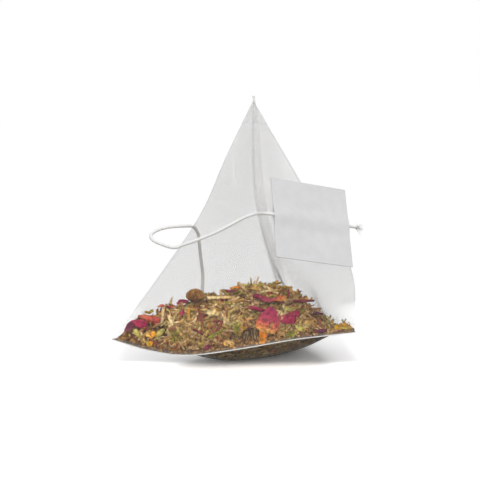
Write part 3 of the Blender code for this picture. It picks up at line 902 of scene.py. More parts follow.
def herbColours(name, stops, roughness, grain, mottle):
    # dried herb: one tone for each piece, with finer streaks and specks of the same plant
    made, tree, shader = newMaterial(name, {"Roughness": roughness, "Specular IOR Level": 0.25})
    streak = addNoise(tree, grain, 3.0)
    shift = addMath(tree, "MULTIPLY_ADD", streak, mottle, readAttribute(tree, "tone"))
    tone = addMath(tree, "SUBTRACT", shift, mottle / 2, clamp=True)
    rich = addNode(tree, "ShaderNodeHueSaturation", {}, {
        "Color": addRamp(tree, tone, stops), "Hue": 0.493, "Saturation": 1.12})
    shade = addRange(tree, streak, 0.32, 0.68, 0.42, 1.5)
    plugIn(tree, shader, {
        "Base Color": addScale(tree, rich.outputs["Color"], shade),
        "Normal": addBump(tree, streak, 0.6, 0.00008),
    })
    return made


def scatterTree():
    # geometry nodes: one copy of a piece on every point, bent a little by smooth noise
    tree, given = nodeTree("looseTea", {
        "Places": "Geometry", "Piece": "Object", "Bend": "Float", "Bend Size": "Float",
        "Seed": "Float", "Finish": "Material"}, "Tea")
    piece = addNode(tree, "GeometryNodeObjectInfo", {}, {"Object": given["Piece"]})
    turn, size = (addNode(tree, "GeometryNodeInputNamedAttribute", {"data_type": "FLOAT_VECTOR"}, {
        "Name": name}).outputs["Attribute"] for name in ("turn", "size"))
    copies = addNode(tree, "GeometryNodeInstanceOnPoints", {}, {
        "Points": given["Places"], "Instance": piece.outputs["Geometry"],
        "Rotation": turn, "Scale": size})
    real = addNode(tree, "GeometryNodeRealizeInstances", {}, {
        "Geometry": copies.outputs["Instances"]})
    cloud = addNode(tree, "ShaderNodeTexNoise", {"noise_dimensions": "4D"}, {
        "Vector": addNode(tree, "GeometryNodeInputPosition").outputs["Position"],
        "W": given["Seed"],
        "Scale": addMath(tree, "DIVIDE", 1.0, given["Bend Size"]),
        "Detail": 1.0,
    })
    middle = addNode(tree, "ShaderNodeVectorMath", {"operation": "SUBTRACT"}, {
        0: cloud.outputs["Color"], 1: (0.5, 0.5, 0.5)})
    bent = addNode(tree, "GeometryNodeSetPosition", {}, {
        "Geometry": real.outputs["Geometry"],
        "Offset": addScale(tree, middle.outputs["Vector"], given["Bend"])})
    finish = addNode(tree, "GeometryNodeSetMaterial", {}, {
        "Geometry": bent.outputs["Geometry"], "Material": given["Finish"]})
    addNode(tree, "NodeGroupOutput", {}, {"Tea": finish.outputs["Geometry"]})
    return tree


def ringForm(rings, sides, point):
    # a closed form of rings, where point gives the place and the tone at a share and an angle
    made = []
    for i in range(rings + 1):
        made += [point(i / rings, 2 * math.pi * j / sides) for j in range(sides)]
    places, tones = zip(*made)
    return np.array(places), tubeFaces(rings + 1, sides), tones


def patternObject(name, verts, faces):
    made = meshObject(name, verts, faces)
    closeSheet(made.data)
    return made


def stemPattern(name, sides, rings):
    # a bit of cut stem, one long and one thick, tapering, with torn ends
    rng = np.random.default_rng(sides * 10 + rings)

    def point(s, angle):
        cut = s in (0.0, 1.0)
        radius = 0.5 * (1.0 - 0.25 * s) * (0.8 if cut else 1.0)
        torn = rng.uniform(-0.035, 0.035) if cut else 0.0
        return (s - 0.5 + torn, radius * math.cos(angle), radius * math.sin(angle)), s

    return patternObject(name, *ringForm(rings, sides, point)[:2])


def bladePattern(name, columns, rows, blunt, cup, notch):
    # a petal or a flake of leaf: rounded, cupped, closed, one long and one wide
    verts = []
    for side in (1, -1):
        for i in range(columns + 1):
            along = 2 * i / columns - 1
            taper = math.sqrt(max(1 - abs(along) ** blunt, 0.04))
            for j in range(rows + 1):
                across = 2 * j / rows - 1
                y = across * taper / 2 * (1 + notch * math.sin(along * 9 + across * 2))
                z = cup * (across ** 2 * taper + 0.5 * along ** 2 - 0.3)
                z += 0.35 * cup * math.sin(along * 5 + across * 2)
                verts.append((along / 2, y, z + side * 0.03))
    return patternObject(name, verts, sheetFaces(columns, rows))


def crumbPattern(name):
    # a broken bit: a ball of twenty faces with its corners knocked in
    rng = np.random.default_rng(5)
    bm = bmesh.new()
    bmesh.ops.create_icosphere(bm, subdivisions=1, radius=0.5)
    for vert in bm.verts:
        vert.co *= rng.uniform(0.65, 1.15)
    mesh = bpy.data.meshes.new(name)
    bm.to_mesh(mesh)
    bm.free()
    return newObject(name, mesh)


def surfaceSamples(mesh, count, rng):
    # random places on a mesh and the normals there, most where the heap shows
    verts = np.array([vert.co for vert in mesh.vertices])
    faces = np.array([tuple(tri.vertices) for tri in mesh.loop_triangles])
    a, b, c = verts[faces[:, 0]], verts[faces[:, 1]], verts[faces[:, 2]]
    normal = np.cross(b - a, c - a)
    ways = unit(normal)
    share = 1 + loose["frontShare"] * np.maximum(-ways[:, 1], 0)
    share -= loose["underShare"] * np.maximum(-ways[:, 2], 0)
    share *= np.linalg.norm(normal, axis=1)
    pick = rng.choice(len(faces), size=count, p=share / share.sum())
    s = np.sqrt(rng.random(count))[:, None]
    t = rng.random(count)[:, None]
    place = a[pick] * (1 - s) + b[pick] * s * (1 - t) + c[pick] * s * t
    return place, ways[pick]


def facing(long, normal):
    # rotation whose x is the piece's length and z its flat side
    z = Vector(normal).normalized()
    x = (Vector(long) - z * Vector(long).dot(z)).normalized()
    return Matrix((x, z.cross(x), z)).transposed()


def tuckIn(mesh, room):
    # no corner of a loose piece pokes through the gauze
    for vert in mesh.vertices:
        deep, out = depthIn(room, vert.co)
        if deep < loose["clearance"]:
            vert.co -= Vector(out) * (loose["clearance"] - deep)


def fitIn(centre, along, length, margin, room):
    # shifts and shortens a piece until it lies inside the gauze, or gives it up
    for attempt in range(loose["tries"]):
        points = [centre + along * length * end for end in (-0.5, 0.0, 0.5)]
        worst, way = tightest(room, points, margin)
        if way is None:
            return centre, length
        centre = centre - way * worst
        length *= loose["shorten"]
    return None, length


def hasSpace(centre, along, length, thick, rise, taken):
    # clear of the pieces that nothing may lie over, and not far above the heap
    for end in (-0.4, 0.0, 0.4):
        if taken.find(centre + along * length * end)[2] <= loose["guardGap"] + thick / 2:
            return False
    level = max(float(heapHeight(centre[0], centre[1])), heap["cornerTop"])
    return centre[2] + abs(along[2]) * length / 2 < level + rise


def scatter(name, kind, bedMesh, room, taken, rng, tree, pattern, finish):
    kept, turns, sizes = [], [], []
    for place, normal in zip(*surfaceSamples(bedMesh, kind["count"], rng)):
        onTop = normal[2] > 0.5
        along = unit(np.cross(normal, rng.normal(size=3)))
        steep = 1.0 if onTop and place[0] < loose["levelFrom"] else loose["flatter"]
        tilt = np.clip(rng.normal() * kind["tilt"] * steep, -loose["steepest"], loose["steepest"])
        along = unit(along + normal * math.tan(tilt))
        length = rng.uniform(*kind["length"])
        width = rng.uniform(*kind["width"])
        thick = width * kind["flat"]
        sunk = loose["sunk"] if onTop else 0.0
        centre = place + normal * (thick / 2 + rng.uniform(*kind["lift"]) - sunk)
        margin = max(thick / 2, width * kind["stand"]) + loose["margin"]
        margin += kind["bend"] * loose["bendShare"]
        centre, length = fitIn(centre, along, length, margin, room)
        if centre is not None and hasSpace(centre, along, length, thick, kind["rise"], taken):
            kept.append(centre)
            spin = facing(along, normal + rng.normal(size=3) * loose["roll"])
            turns.append(tuple(spin.to_euler()))
            sizes.append((length, width, thick))
    piece = meshObject(name, kept, [], smooth=False)
    addAttribute(piece.data, "turn", turns, "FLOAT_VECTOR", "vector")
    addAttribute(piece.data, "size", sizes, "FLOAT_VECTOR", "vector")
    addAttribute(piece.data, "tone", rng.uniform(0.0, 1.0, len(kept)))
    useTree(piece, tree, {
        "Piece": pattern, "Bend": kind["bend"], "Bend Size": loose["bendSize"],
        "Seed": loose["bendSeed"], "Finish": finish})
    tuckIn(piece.data, room)
    print(name, len(kept), "pieces")
    return piece


# pieces of the tea that can be told apart: thin sheets, each with its half width along it,
# its bend across it, its thickness, its cells and how torn its rim is
sheetKinds = {
    "petal": {
        "outline": lambda s: 0.16 + 1.02 * s ** 0.65 * math.sqrt(max(1 - s ** 5, 0.0)),
        "bend": lambda s, t, phase: (
            0.08 * t * t + 0.07 * math.sin(9 * s + phase[0]) * t * t
            + 0.056 * math.sin(8 * t + phase[1]) * s * s + 0.05 * math.sin(3 * s + phase[2])),
        "thickness": 0.00018, "cells": (22, 14), "ragged": 0.05,
    },
    "roll": {
        "outline": lambda s: 0.25 + 0.75 * math.sin(math.pi * min(max(s, 0.02), 0.98)) ** 0.5,
        "bend": lambda s, t, phase: -0.55 * t * t + 0.12 * math.sin(8 * s + 3 * t + phase[0]),
        "thickness": 0.00045, "cells": (18, 8), "ragged": 0.05,
    },
    "flake": {
        "outline": lambda s: 0.22 + 0.88 * math.sin(math.pi * s ** 0.8) ** 0.7,
        "bend": lambda s, t, phase: (
            0.22 * abs(t) + 0.12 * math.sin(6 * s + phase[0])
            + 0.16 * t * math.sin(4 * s + phase[1])),
        "thickness": 0.00035, "cells": (20, 8), "ragged": 0.20,
    },
    "peel": {
        "outline": lambda s: 0.9 + 0.1 * math.sin(9 * s),
        "bend": lambda s, t, phase: 0.10 * t * t + 0.05 * math.sin(8 * s + phase[0]),
        "thickness": 0.00095, "cells": (12, 8), "ragged": 0.05,
    },
}


def sheetForm(kind, length, width, seed):
    rng = np.random.default_rng(seed)
    phase = rng.uniform(0, 6.28, 4)
    along, across = kind["cells"]
    verts, tone = [], []
    for side in (1, -1):
        for i in range(along + 1):
            s = i / along
            for j in range(across + 1):
                t = 2 * j / across - 1
                torn = math.sin(13 * s + phase[0] + 2 * t) + 0.6 * math.sin(31 * s + phase[3] * (t > 0))
                half = width / 2 * kind["outline"](s) * (1 + kind["ragged"] * torn)
                rise = width * kind["bend"](s, t, phase)
                thin = (1 - 0.75 * abs(t) ** 3) * (1 - 0.6 * abs(2 * s - 1) ** 6)
                skin = side * kind["thickness"] / 2 * thin
                verts.append((length * (s - 0.5), half * t, rise + skin))
                tone.append(s)
    return np.array(verts), sheetFaces(along, across), tone


def seedForm(length, width, seed):
    # a ribbed seed, pointed at both ends
    def point(s, angle):
        radius = width / 2 * math.sqrt(max(1 - abs(2 * s - 1) ** 2.2, 0.004))
        r = radius * (1 + 0.07 * math.cos(7 * angle))
        place = (length * (s - 0.5), r * math.cos(angle), 0.8 * r * math.sin(angle))
        return place, 0.5 + 0.5 * math.cos(7 * angle)

    return ringForm(12, 14, point)


def twigForm(length, width, seed):
    # a bit of stalk with a knot, a little crooked, split at one end
    phase = np.random.default_rng(seed).uniform(0, 6.28, 3)

    def point(s, angle):
        knot = 0.35 * math.exp(-((s - 0.62) / 0.05) ** 2)
        radius = width / 2 * (1 - 0.35 * s + knot)
        r = radius * (1 + 0.12 * math.sin(3 * angle + phase[1]))
        torn = 0.05 * math.sin(angle * 2 + phase[2]) * (s == 1)
        offset = length * 0.035 * math.sin(4 * s + phase[0])
        x = length * (s - 0.5 + torn)
        return (x, r * math.cos(angle) + offset, r * math.sin(angle)), s

    return ringForm(16, 8, point)


def bractForm(length, width, seed):
    # a dried flower head: small scales in a golden-angle spiral over a low dome
    rng = np.random.default_rng(seed)
    count, goldenAngle = 110, 2.39996
    scale = [tri for a in range(4) for tri in ((a, (a + 1) % 4, 4), ((a + 1) % 4, a, 5))]
    parts = []
    for k in range(count):
        turn = k * goldenAngle
        polar = math.acos(1 - 1.25 * (k + 0.5) / count)
        n = np.array((math.sin(polar) * math.cos(turn), math.sin(polar) * math.sin(turn),
                      math.cos(polar)))
        side = unit(np.cross(n, (0.01, 0.02, 1.0)))
        down = np.cross(n, side)
        centre = n * (length / 2, width / 2, width * 0.42)
        size = width * rng.uniform(0.09, 0.13)
        lean = n * 0.5 * size
        points = [centre - down * size * 1.2 + lean * 1.4, centre + side * size * 0.7,
                  centre + down * size * 1.1 - lean, centre - side * size * 0.7,
                  centre + n * size * 0.5, centre - n * size * 0.9]
        tones = [0.9, 0.5, 0.1, 0.5, 0.7, 0.0] if k % 3 else [0.6, 0.3, 0.0, 0.3, 0.4, 0.0]
        parts.append((points, scale, tones))

    def point(s, angle):
        polar = math.pi * s * 0.98 + 0.01
        dome = (math.sin(polar) * math.cos(angle) * length,
                math.sin(polar) * math.sin(angle) * width, math.cos(polar) * width * 0.8)
        return np.array(dome) * 0.47, 0.15

    return gathered(parts + [ringForm(8, 16, point)])


def floretForm(length, width, seed, petals=7):
    # a small dried blossom: a ring of curled petals
    rng = np.random.default_rng(seed)
    parts = []
    for k in range(petals):
        turn = 2 * math.pi * k / petals + rng.uniform(-0.2, 0.2)
        form, faces, tone = sheetForm(sheetKinds["petal"], length * 0.5, width * 0.34, seed + k)
        form[:, 0] += length * 0.26
        lift = rng.uniform(0.1, 0.7)
        x = form[:, 0] * math.cos(lift) - form[:, 2] * math.sin(lift)
        z = form[:, 0] * math.sin(lift) + form[:, 2] * math.cos(lift)
        spun = np.stack([x * math.cos(turn) - form[:, 1] * math.sin(turn),
                         x * math.sin(turn) + form[:, 1] * math.cos(turn), z], 1)
        parts.append((spun, faces, tone))
    return gathered(parts)


otherForms = {"seed": seedForm, "twig": twigForm, "bract": bractForm, "floret": floretForm}


def toldForm(kind, length, width, seed):
    if kind in sheetKinds:
        return sheetForm(sheetKinds[kind], length, width, seed)
    return otherForms[kind](length, width, seed)


# each look: its colours, how much one piece varies, and the colours' places if uneven
herbLooks = {
    "rose": ("9c3c54 b4505e ca6a64 dd9064 ebbc74", 0.22, (0.0, 0.45, 0.62, 0.8, 1.0)),
    "roseDark": ("8c4250 713244 5a2636", 0.4),
    "magenta": ("b9545f a03c4e 8a2e42", 0.4),
    "salmon": ("d98a6c c8705c b45a54", 0.4),
    "cream": ("f2dfae ecd299 d9b878", 0.4),
    "peach": ("f0c981 e6b364 d59a4a", 0.4),
    "orange": ("f0a83c e6932a cf7a1c", 0.6),
    "olive": ("8f8a3c 7d7a32 a8a052", 0.5),
    "pale": ("d8cf84 c6ba6a ab9c4e", 0.5),
    "seed": ("33261b 5b4631 b49a6c", 0.7),
    "brown": ("5c3e26 8c6439 bd955c", 0.4, (0.0, 0.4, 1.0)),
    "red": ("7c3538 91474a 6b2c31", 0.5),
    "straw": ("e7cd94 cfae6e a9854c", 0.4),
    "yellow": ("e9c15a d9a440 b98a35", 0.4),
}

# seen from the front against the wall, in millimetres: x and z, turn in degrees, length, width
pressedPieces = [
    ("magenta", "petal", "rose_petal", 12.4, 13.7, 4, 4.6, 3.0),
    ("magenta", "petal", "rose_petal", 14.0, 14.6, 24, 3.2, 2.0),
    ("rose", "petal", "rose_petal", 8.1, 13.5, -106, 6.4, 6.2),
    ("magenta", "roll", "rose_petal", 5.2, 16.2, -12, 4.2, 1.1),
    ("orange", "peel", "orange_peel", 6.7, 9.2, 84, 3.9, 2.1),
    ("magenta", "petal", "rose_petal", -22.7, 13.1, -14, 4.0, 2.4),
    ("salmon", "roll", "rose_petal", -20.0, 14.2, -9, 6.2, 2.2),
    ("roseDark", "petal", "rose_petal", -25.0, 12.4, 50, 3.0, 1.9),
    ("peach", "flake", "dried_flower", -19.8, 10.6, -8, 2.6, 1.7),
    ("pale", "seed", "seed", -17.7, 11.0, 42, 2.9, 1.3),
    ("cream", "twig", "herb_stem", -17.1, 15.0, 78, 4.2, 0.8),
    ("cream", "flake", "herb_stem", -15.5, 14.4, 108, 4.6, 0.9),
    ("cream", "flake", "herb_stem", -14.9, 13.6, 62, 3.6, 0.8),
    ("peach", "twig", "herb_stem", -11.0, 14.9, 96, 2.9, 0.9),
    ("magenta", "flake", "rose_petal", -12.6, 15.4, 60, 1.5, 1.0),
    ("cream", "flake", "leaf_flake", -5.2, 15.2, -6, 3.4, 1.5),
    ("cream", "flake", "leaf_flake", -2.1, 13.3, 20, 1.5, 1.2),
    ("olive", "flake", "leaf_flake", 0.5, 11.8, 62, 2.9, 1.3),
    ("peach", "flake", "leaf_flake", -1.4, 8.0, -18, 2.6, 1.3),
    ("olive", "flake", "leaf_flake", 13.4, 9.9, 25, 3.0, 1.7),
    ("seed", "seed", "seed", 2.7, 9.6, 78, 3.0, 1.5),
    ("seed", "seed", "seed", 4.6, 9.9, 100, 3.2, 1.6),
    ("roseDark", "roll", "rose_petal", 20.4, 10.6, 14, 3.6, 1.2),
    ("yellow", "flake", "dried_flower", 25.6, 11.7, 12, 3.6, 1.1),
    ("pale", "flake", "dried_flower", 26.4, 11.4, -18, 2.2, 0.8),
    ("red", "twig", "herb_stem", -8.3, 10.7, -28, 3.9, 0.6),
    ("red", "twig", "herb_stem", -18.9, 8.6, -38, 3.2, 0.5),
    ("yellow", "seed", "seed", -24.7, 8.9, 10, 0.9, 0.8),
    ("yellow", "flake", "dried_flower", -20.0, 8.5, 30, 1.7, 1.1),
    ("pale", "flake", "leaf_flake", -23.0, 10.9, -50, 2.6, 1.0),
    ("cream", "twig", "herb_stem", -21.7, 9.9, -65, 2.6, 0.8),
    ("roseDark", "flake", "rose_petal", -6.4, 7.5, 20, 1.8, 0.9),
    ("olive", "twig", "herb_stem", -4.0, 10.6, 24, 5.4, 0.7),
    ("straw", "twig", "herb_stem", -12.5, 10.4, -52, 5.0, 0.8),
    ("olive", "twig", "herb_stem", -14.2, 10.0, 66, 4.4, 0.7),
    ("straw", "twig", "herb_stem", 9.8, 11.6, 16, 4.6, 0.6),
    ("straw", "flake", "leaf_flake", 17.4, 12.4, 35, 2.8, 1.4),
    ("pale", "flake", "leaf_flake", 15.6, 11.4, -30, 2.4, 1.3),
]

# lying or standing on top: x and y, turn, length, width and how upright, in radians
toppingPieces = [
    ("cream", "flake", "leaf_flake", 3.5, -3.0, -8, 5.0, 1.5, 0.2),
    ("straw", "flake", "leaf_flake", -3.4, -4.0, 12, 3.4, 1.3, 0.2),
    ("straw", "twig", "herb_stem", 1.2, 2.4, 100, 2.6, 0.6, 1.3),
    ("brown", "flake", "herb_stem", 4.2, 5.0, 110, 2.8, 1.0, 1.2),
    ("straw", "flake", "herb_stem", 6.2, 5.6, 80, 3.0, 0.9, 1.3),
    ("red", "twig", "herb_stem", 7.6, 5.0, 60, 2.6, 0.6, 1.2),
    ("straw", "twig", "herb_stem", 10.0, 4.0, 95, 2.8, 0.6, 1.2),
    ("red", "twig", "herb_stem", 13.4, -6.0, 85, 3.4, 0.6, 1.35),
    ("straw", "twig", "herb_stem", 17.4, -12.0, 88, 3.0, 0.55, 1.35),
    ("red", "flake", "rose_petal", -8.0, -5.0, 75, 2.2, 1.5, 1.0),
    ("straw", "twig", "herb_stem", -7.4, -5.0, 120, 2.2, 0.25, 1.2),
    ("olive", "twig", "herb_stem", 9.0, -2.0, -14, 5.2, 0.8, 0.1),
    ("straw", "twig", "herb_stem", -1.6, -8.0, 24, 5.6, 0.8, 0.1),
    ("red", "twig", "herb_stem", -3.6, -6.0, -38, 4.8, 0.7, 0.15),
]

# nodes of the part that get a finer piece in their own place: kind, slot and looks in turn
finerNodes = {
    "rose_petal": ("petal", "rose_petal", "salmon magenta rose roseDark"),
    "orange_peel": ("peel", "orange_peel", "orange orange"),
    "seed": ("seed", "seed", "seed seed seed"),
    "blossom": ("floret", "dried_flower", "yellow yellow yellow"),
    "flower_head": ("bract", "dried_flower", "brown"),
    "leaf_flake": ("flake", "leaf_flake", "pale cream olive pale straw olive"),
    "stem": ("twig", "herb_stem",
             "straw olive cream red straw pale brown straw olive cream straw red"),
}

told = {
    "seeds": {"pressed": 40, "topping": 140, "finer": 240},
    "castFrom": 0.06,        # beyond any wall of the bag
    "depth": 0.0004,         # of a piece's middle inside the wall
    "depths": {"peel": 0.0007, "seed": 0.0009},      # thicker kinds lie deeper
    "deepest": 0.0006,       # that a pressed sheet may curl away from the wall
    "petalDeepest": 0.00045,
    "shift": (0.8, 0.00002),     # of a piece in one try, as a share of what it lacks and more
    "tries": 8,
    "guarded": ("petal", "roll", "peel", "seed", "bract"),     # nothing loose lies over these
}


def turnedOn(normal, turn, upright):
    # rotation for a piece lying on a surface, its length turned from level
    n = unit(np.array(normal))
    level = unit(np.array((1.0, 0.0, 0.0)) - n * n[0])
    angle = math.radians(turn)
    along = level * math.cos(angle) + np.cross(n, level) * math.sin(angle)
    along = unit(along * math.cos(upright) + np.array((0, 0, 1.0)) * math.sin(upright))
    # a piece that stands on end shows its flat side to the front
    shown = n if abs(n @ along) < 0.95 else np.array((0, -1.0, 0))
    flat = unit(shown - along * (shown @ along))
    return np.stack([along, np.cross(flat, along), flat], 1)


def insideOf(room, form, margin):
    # shifts a placed form inwards until none of it is nearer the gauze than the margin
    for attempt in range(told["tries"]):
        worst, way = tightest(room, form[::3], margin)
        if way is None:
            break
        share, more = told["shift"]
        form = form - way * (worst * share + more)
    return form


def pressedOn(room, form, margin, deepest):
    # lays a two-sided sheet along the wall, both of its sides shifted together
    half = len(form) // 2
    placed = form.copy()
    for k in range(half):
        depths = [depthIn(room, placed[i]) for i in (k, k + half)]
        nearest = min(depths, key=lambda found: found[0])
        shift = max(margin - nearest[0], 0.0) - max(nearest[0] - deepest, 0.0) * 0.85
        placed[[k, k + half]] -= nearest[1] * shift
    return placed


def joinedPiece(name, parts, finish):
    # several forms made into one mesh, with their tones kept
    verts, faces, tones = gathered(parts)
    made = meshObject(name, verts, faces, finish)
    addAttribute(made.data, "tone", tones)
    closeSheet(made.data)
    return made


def buildTold(room, bedTree, finishes, guarded):
    groups = {}

    def keep(look, kind, slot, placed, faces, tone):
        if kind in told["guarded"]:
            guarded.extend(placed)
        groups.setdefault((look, slot), []).append((placed, faces, tone))

    for number, (look, kind, slot, x, z, turn, length, width) in enumerate(pressedPieces):
        seed = told["seeds"]["pressed"] + number
        form, faces, tone = toldForm(kind, length / 1000, width / 1000, seed)
        start = Vector((x / 1000, -told["castFrom"], z / 1000))
        hit, normal = room.ray_cast(start, Vector((0, 1, 0)))[:2]
        depth = told["depths"].get(kind, told["depth"])
        placed = form @ turnedOn(normal, turn, 0.0).T + np.array(hit) - np.array(normal) * depth
        if kind in ("petal", "flake", "peel"):
            deepest = told["petalDeepest"] if kind == "petal" else told["deepest"]
            placed = pressedOn(room, placed, loose["clearance"], deepest)
        else:
            placed = insideOf(room, placed, loose["clearance"])
        keep(look, kind, slot, placed, faces, tone)
    down = Vector((0, 0, -1))
    for number, (look, kind, slot, x, y, turn, length, width, up) in enumerate(toppingPieces):
        seed = told["seeds"]["topping"] + number
        form, faces, tone = toldForm(kind, length / 1000, width / 1000, seed)
        hit, normal = bedTree.ray_cast(Vector((x / 1000, y / 1000, told["castFrom"])), down)[:2]
        rise = 0.0005 + length / 2000 * math.sin(up) * 0.7
        placed = form @ turnedOn(normal, turn, up).T + np.array(hit) + (0.0, 0.0, rise)
        keep(look, kind, slot, insideOf(room, placed, loose["clearance"]), faces, tone)
    for (look, slot), parts in groups.items():
        ride(joinedPiece("told_" + look + "_" + slot, parts, finishes[look]), slot)


def nodeFrame(node):
    # middle, directions and size of a node of the part, from its own points
    points = np.array([node.matrix_world @ vert.co for vert in node.data.vertices])
    middle = (points.min(0) + points.max(0)) / 2
    axes = np.linalg.svd(points - points.mean(0), full_matrices=False)[2]
    flat = axes[2] if axes[2][2] > 0 else -axes[2]
    along = axes[0] if axes[0][0] > 0 else -axes[0]
    along = unit(along - flat * (along @ flat))
    turned = np.stack([along, np.cross(flat, along), flat], 1)
    local = (points - middle) @ turned
    return middle, turned, local.max(0) - local.min(0)


def buildFiner(room, finishes, guarded):
    seed = told["seeds"]["finer"]
    for group, (kind, slot, looks) in finerNodes.items():
        for number, look in enumerate(looks.split(), 1):
            name = group if group in nodes else group + "_" + str(number)
            middle, turned, size = nodeFrame(nodes[name])
            form, faces, tone = toldForm(kind, float(size[0]), float(size[1]), seed)
            seed += 1
            placed = insideOf(room, form @ turned.T + middle, loose["clearance"])
            if kind in told["guarded"]:
                guarded.extend(placed)
            ride(joinedPiece("fine_" + name, [(placed, faces, tone)], finishes[look]), slot, name)


cotton = {
    "diameter": 0.00086,
    "plies": 3,
    "twistLength": 0.0026,
    "groove": 0.20,
    "rings": 420,
    "sides": 18,
    "strands": 70,
    "strandReach": (0.0007, 0.0018),
    "strandWidth": 0.00009,
    "fuzzFibres": 260,
    "fuzzReach": (0.0002, 0.0006),
    "fuzzRadius": 0.000016,
}

# the route of the part's own thread
threadRoute = [
    (-0.00846, -0.00300, 0.01584),
    (-0.00825, -0.00355, 0.02131),
    (-0.00860, -0.00515, 0.02538),
    (-0.00897, -0.00650, 0.02960),
    (-0.00925, -0.00740, 0.03240),
    (-0.01039, -0.00940, 0.03448),
    (-0.01276, -0.01120, 0.03483),
    (-0.01573, -0.01260, 0.03479),
    (-0.01801, -0.01400, 0.03446),
    (-0.01954, -0.01500, 0.03387),
    (-0.02030, -0.01600, 0.03318),
    (-0.01987, -0.01700, 0.03221),
    (-0.01800, -0.01800, 0.03134),
    (-0.01471, -0.01880, 0.03050),
    (-0.01241, -0.01900, 0.03117),
    (-0.00898, -0.01880, 0.03233),
    (-0.00440, -0.01830, 0.03418),
    (0.00017, -0.01780, 0.03653),
    (0.00288, -0.01760, 0.03786),
    (0.00520, -0.01750, 0.03850),
    (0.00819, -0.02019, 0.03876),
    (0.01376, -0.01776, 0.03766),
    (0.01843, -0.01572, 0.03675),
    (0.02310, -0.01368, 0.03583),
    (0.02975, -0.01077, 0.03453),
]


def smoothRoute(route, count):
    # evenly spaced points on a smooth curve through the route
    dense = []
    for i in range(len(route) - 1):
        a, b, c, d = (route[min(max(i + k, 0), len(route) - 1)] for k in (-1, 0, 1, 2))
        dense += [hermite(b, c, (c - a) / 2, (d - b) / 2, t) for t in np.arange(40) / 40]
    dense = np.array(dense + [route[-1]])
    travelled = np.concatenate([[0], np.cumsum(np.linalg.norm(np.diff(dense, axis=0), axis=1))])
    target = np.linspace(0, travelled[-1], count)
    points = np.stack([np.interp(target, travelled, dense[:, k]) for k in range(3)], 1)
    return points, travelled[-1]


def twistedCotton():
    # soft spun cotton: chalky white plies, dull, with loose fibres
    settings = {
        "Roughness": 0.9,
        "Specular IOR Level": 0.15,
        "Sheen Weight": 0.3,
        "Sheen Roughness": 0.5,
        "Subsurface Weight": 0.55,
        "Subsurface Radius": (1.0, 1.0, 1.0),
        "Subsurface Scale": 0.0006,
    }
    stops = [(0.3, "e4e4e1"), (0.65, "f9f9f7")]
    return cloudyMaterial("twistedCotton", settings, 3800.0, 3.0, stops, (0.5, 0.00005))[0]


def carriedFrames(path):
    # side directions that follow a path without twisting
    tangent = unit(np.gradient(path, axis=0))
    side = np.zeros_like(path)
    side[0] = unit(np.cross(tangent[0], (0.3, 0.2, 1.0)))
    for i in range(1, len(path)):
        side[i] = unit(side[i - 1] - tangent[i] * (side[i - 1] @ tangent[i]))
    return side, np.cross(tangent, side)


def sideAngles(sides):
    return 2 * math.pi / sides * np.arange(sides)


def tubeForm(path, radius, sides):
    # a closed tube; its radius may change along the path, in rows, and round it, in columns
    side, up = carriedFrames(path)
    angle = sideAngles(sides)[:, None]
    spun = side[:, None] * np.cos(angle) + up[:, None] * np.sin(angle)
    points = path[:, None] + spun * radius[:, :, None]
    return points.reshape(-1, 3), tubeFaces(len(path), sides), ()


def buildCotton(finish):
    path, length = smoothRoute([np.array(p) for p in threadRoute], cotton["rings"])
    turn = np.linspace(0, length, cotton["rings"])[:, None] / cotton["twistLength"] * 2 * math.pi
    lobe = np.abs(np.cos(cotton["plies"] / 2 * (sideAngles(cotton["sides"]) - turn)))
    radius = cotton["diameter"] / 2 * (1 - cotton["groove"] * (1 - lobe ** 0.8))
    points, faces, tones = tubeForm(path, radius, cotton["sides"])
    thread = meshObject("cotton_thread", points, faces, finish)
    closeSheet(thread.data)
    return thread, path, length


def buildFray(path, finish):
    # loose strands at the cut end of the thread
    rng = np.random.default_rng(12)
    along = unit(path[-1] - path[-8])
    fibres = []
    for k in range(cotton["strands"]):
        spread = rng.normal(size=3) * 0.5
        reach = rng.uniform(*cotton["strandReach"])
        start = path[-1] + rng.normal(size=3) * 0.00014 - along * 0.0004
        spread[2] -= rng.uniform(-0.1, 0.35)
        t = np.linspace(0, 1, 6)[:, None]
        line = start + along * t * reach + spread * reach * t ** 1.8 * 0.8
        width = cotton["strandWidth"] * rng.uniform(0.6, 1.3) / 2
        fibres.append(tubeForm(line, np.linspace(width, width / 2, 6)[:, None], 4))
    verts, faces, tones = gathered(fibres)
    return meshObject("thread_fray", verts, faces, finish)


def buildFuzz(path, finish):
    # short loose fibres all along the thread
    rng = np.random.default_rng(4)
    fibres = []
    for k in range(cotton["fuzzFibres"]):
        i = rng.integers(4, len(path) - 6)
        along = unit(path[i + 1] - path[i])
        out = unit(np.cross(along, rng.normal(size=3)))
        start = path[i] + out * cotton["diameter"] * 0.42
        reach = rng.uniform(*cotton["fuzzReach"])
        lean = along * rng.choice((-1, 1)) * rng.uniform(0.4, 1.2)
        bend = start + (out * 0.6 + lean * 0.5) * reach * 0.5
        line = np.array((start, bend, start + (out * 0.7 + lean) * reach))
        fibres.append(tubeForm(line, cotton["fuzzRadius"] * np.array(((1.0,), (0.8,), (0.3,))), 3))
    verts, faces, tones = gathered(fibres)
    return meshObject("thread_fuzz", verts, faces, finish)


tag = {
    "width": 0.0207,
    "height": 0.0207,
    "card": 0.00013,
    "leafGap": 0.00001,
    "threadHeight": 0.0006,
    "humpReach": 0.0034,
    "warp": 0.00012,
    "columns": 44,
    "rows": 44,
    "shift": (0.00024, 0.00006),   # how far the back leaf shows past the front one
    "sharp": math.radians(40),
}

# the tag's own frame in the part: x along the thread, -y out of its front, z up the card
tagFrame = Matrix((
    (0.90175, -0.42915, -0.05177, 0.01846),
    (0.39441, 0.76786, 0.50480, -0.01602),
    (-0.17688, -0.47562, 0.86168, 0.03623),
    (0.0, 0.0, 0.0, 1.0),
))


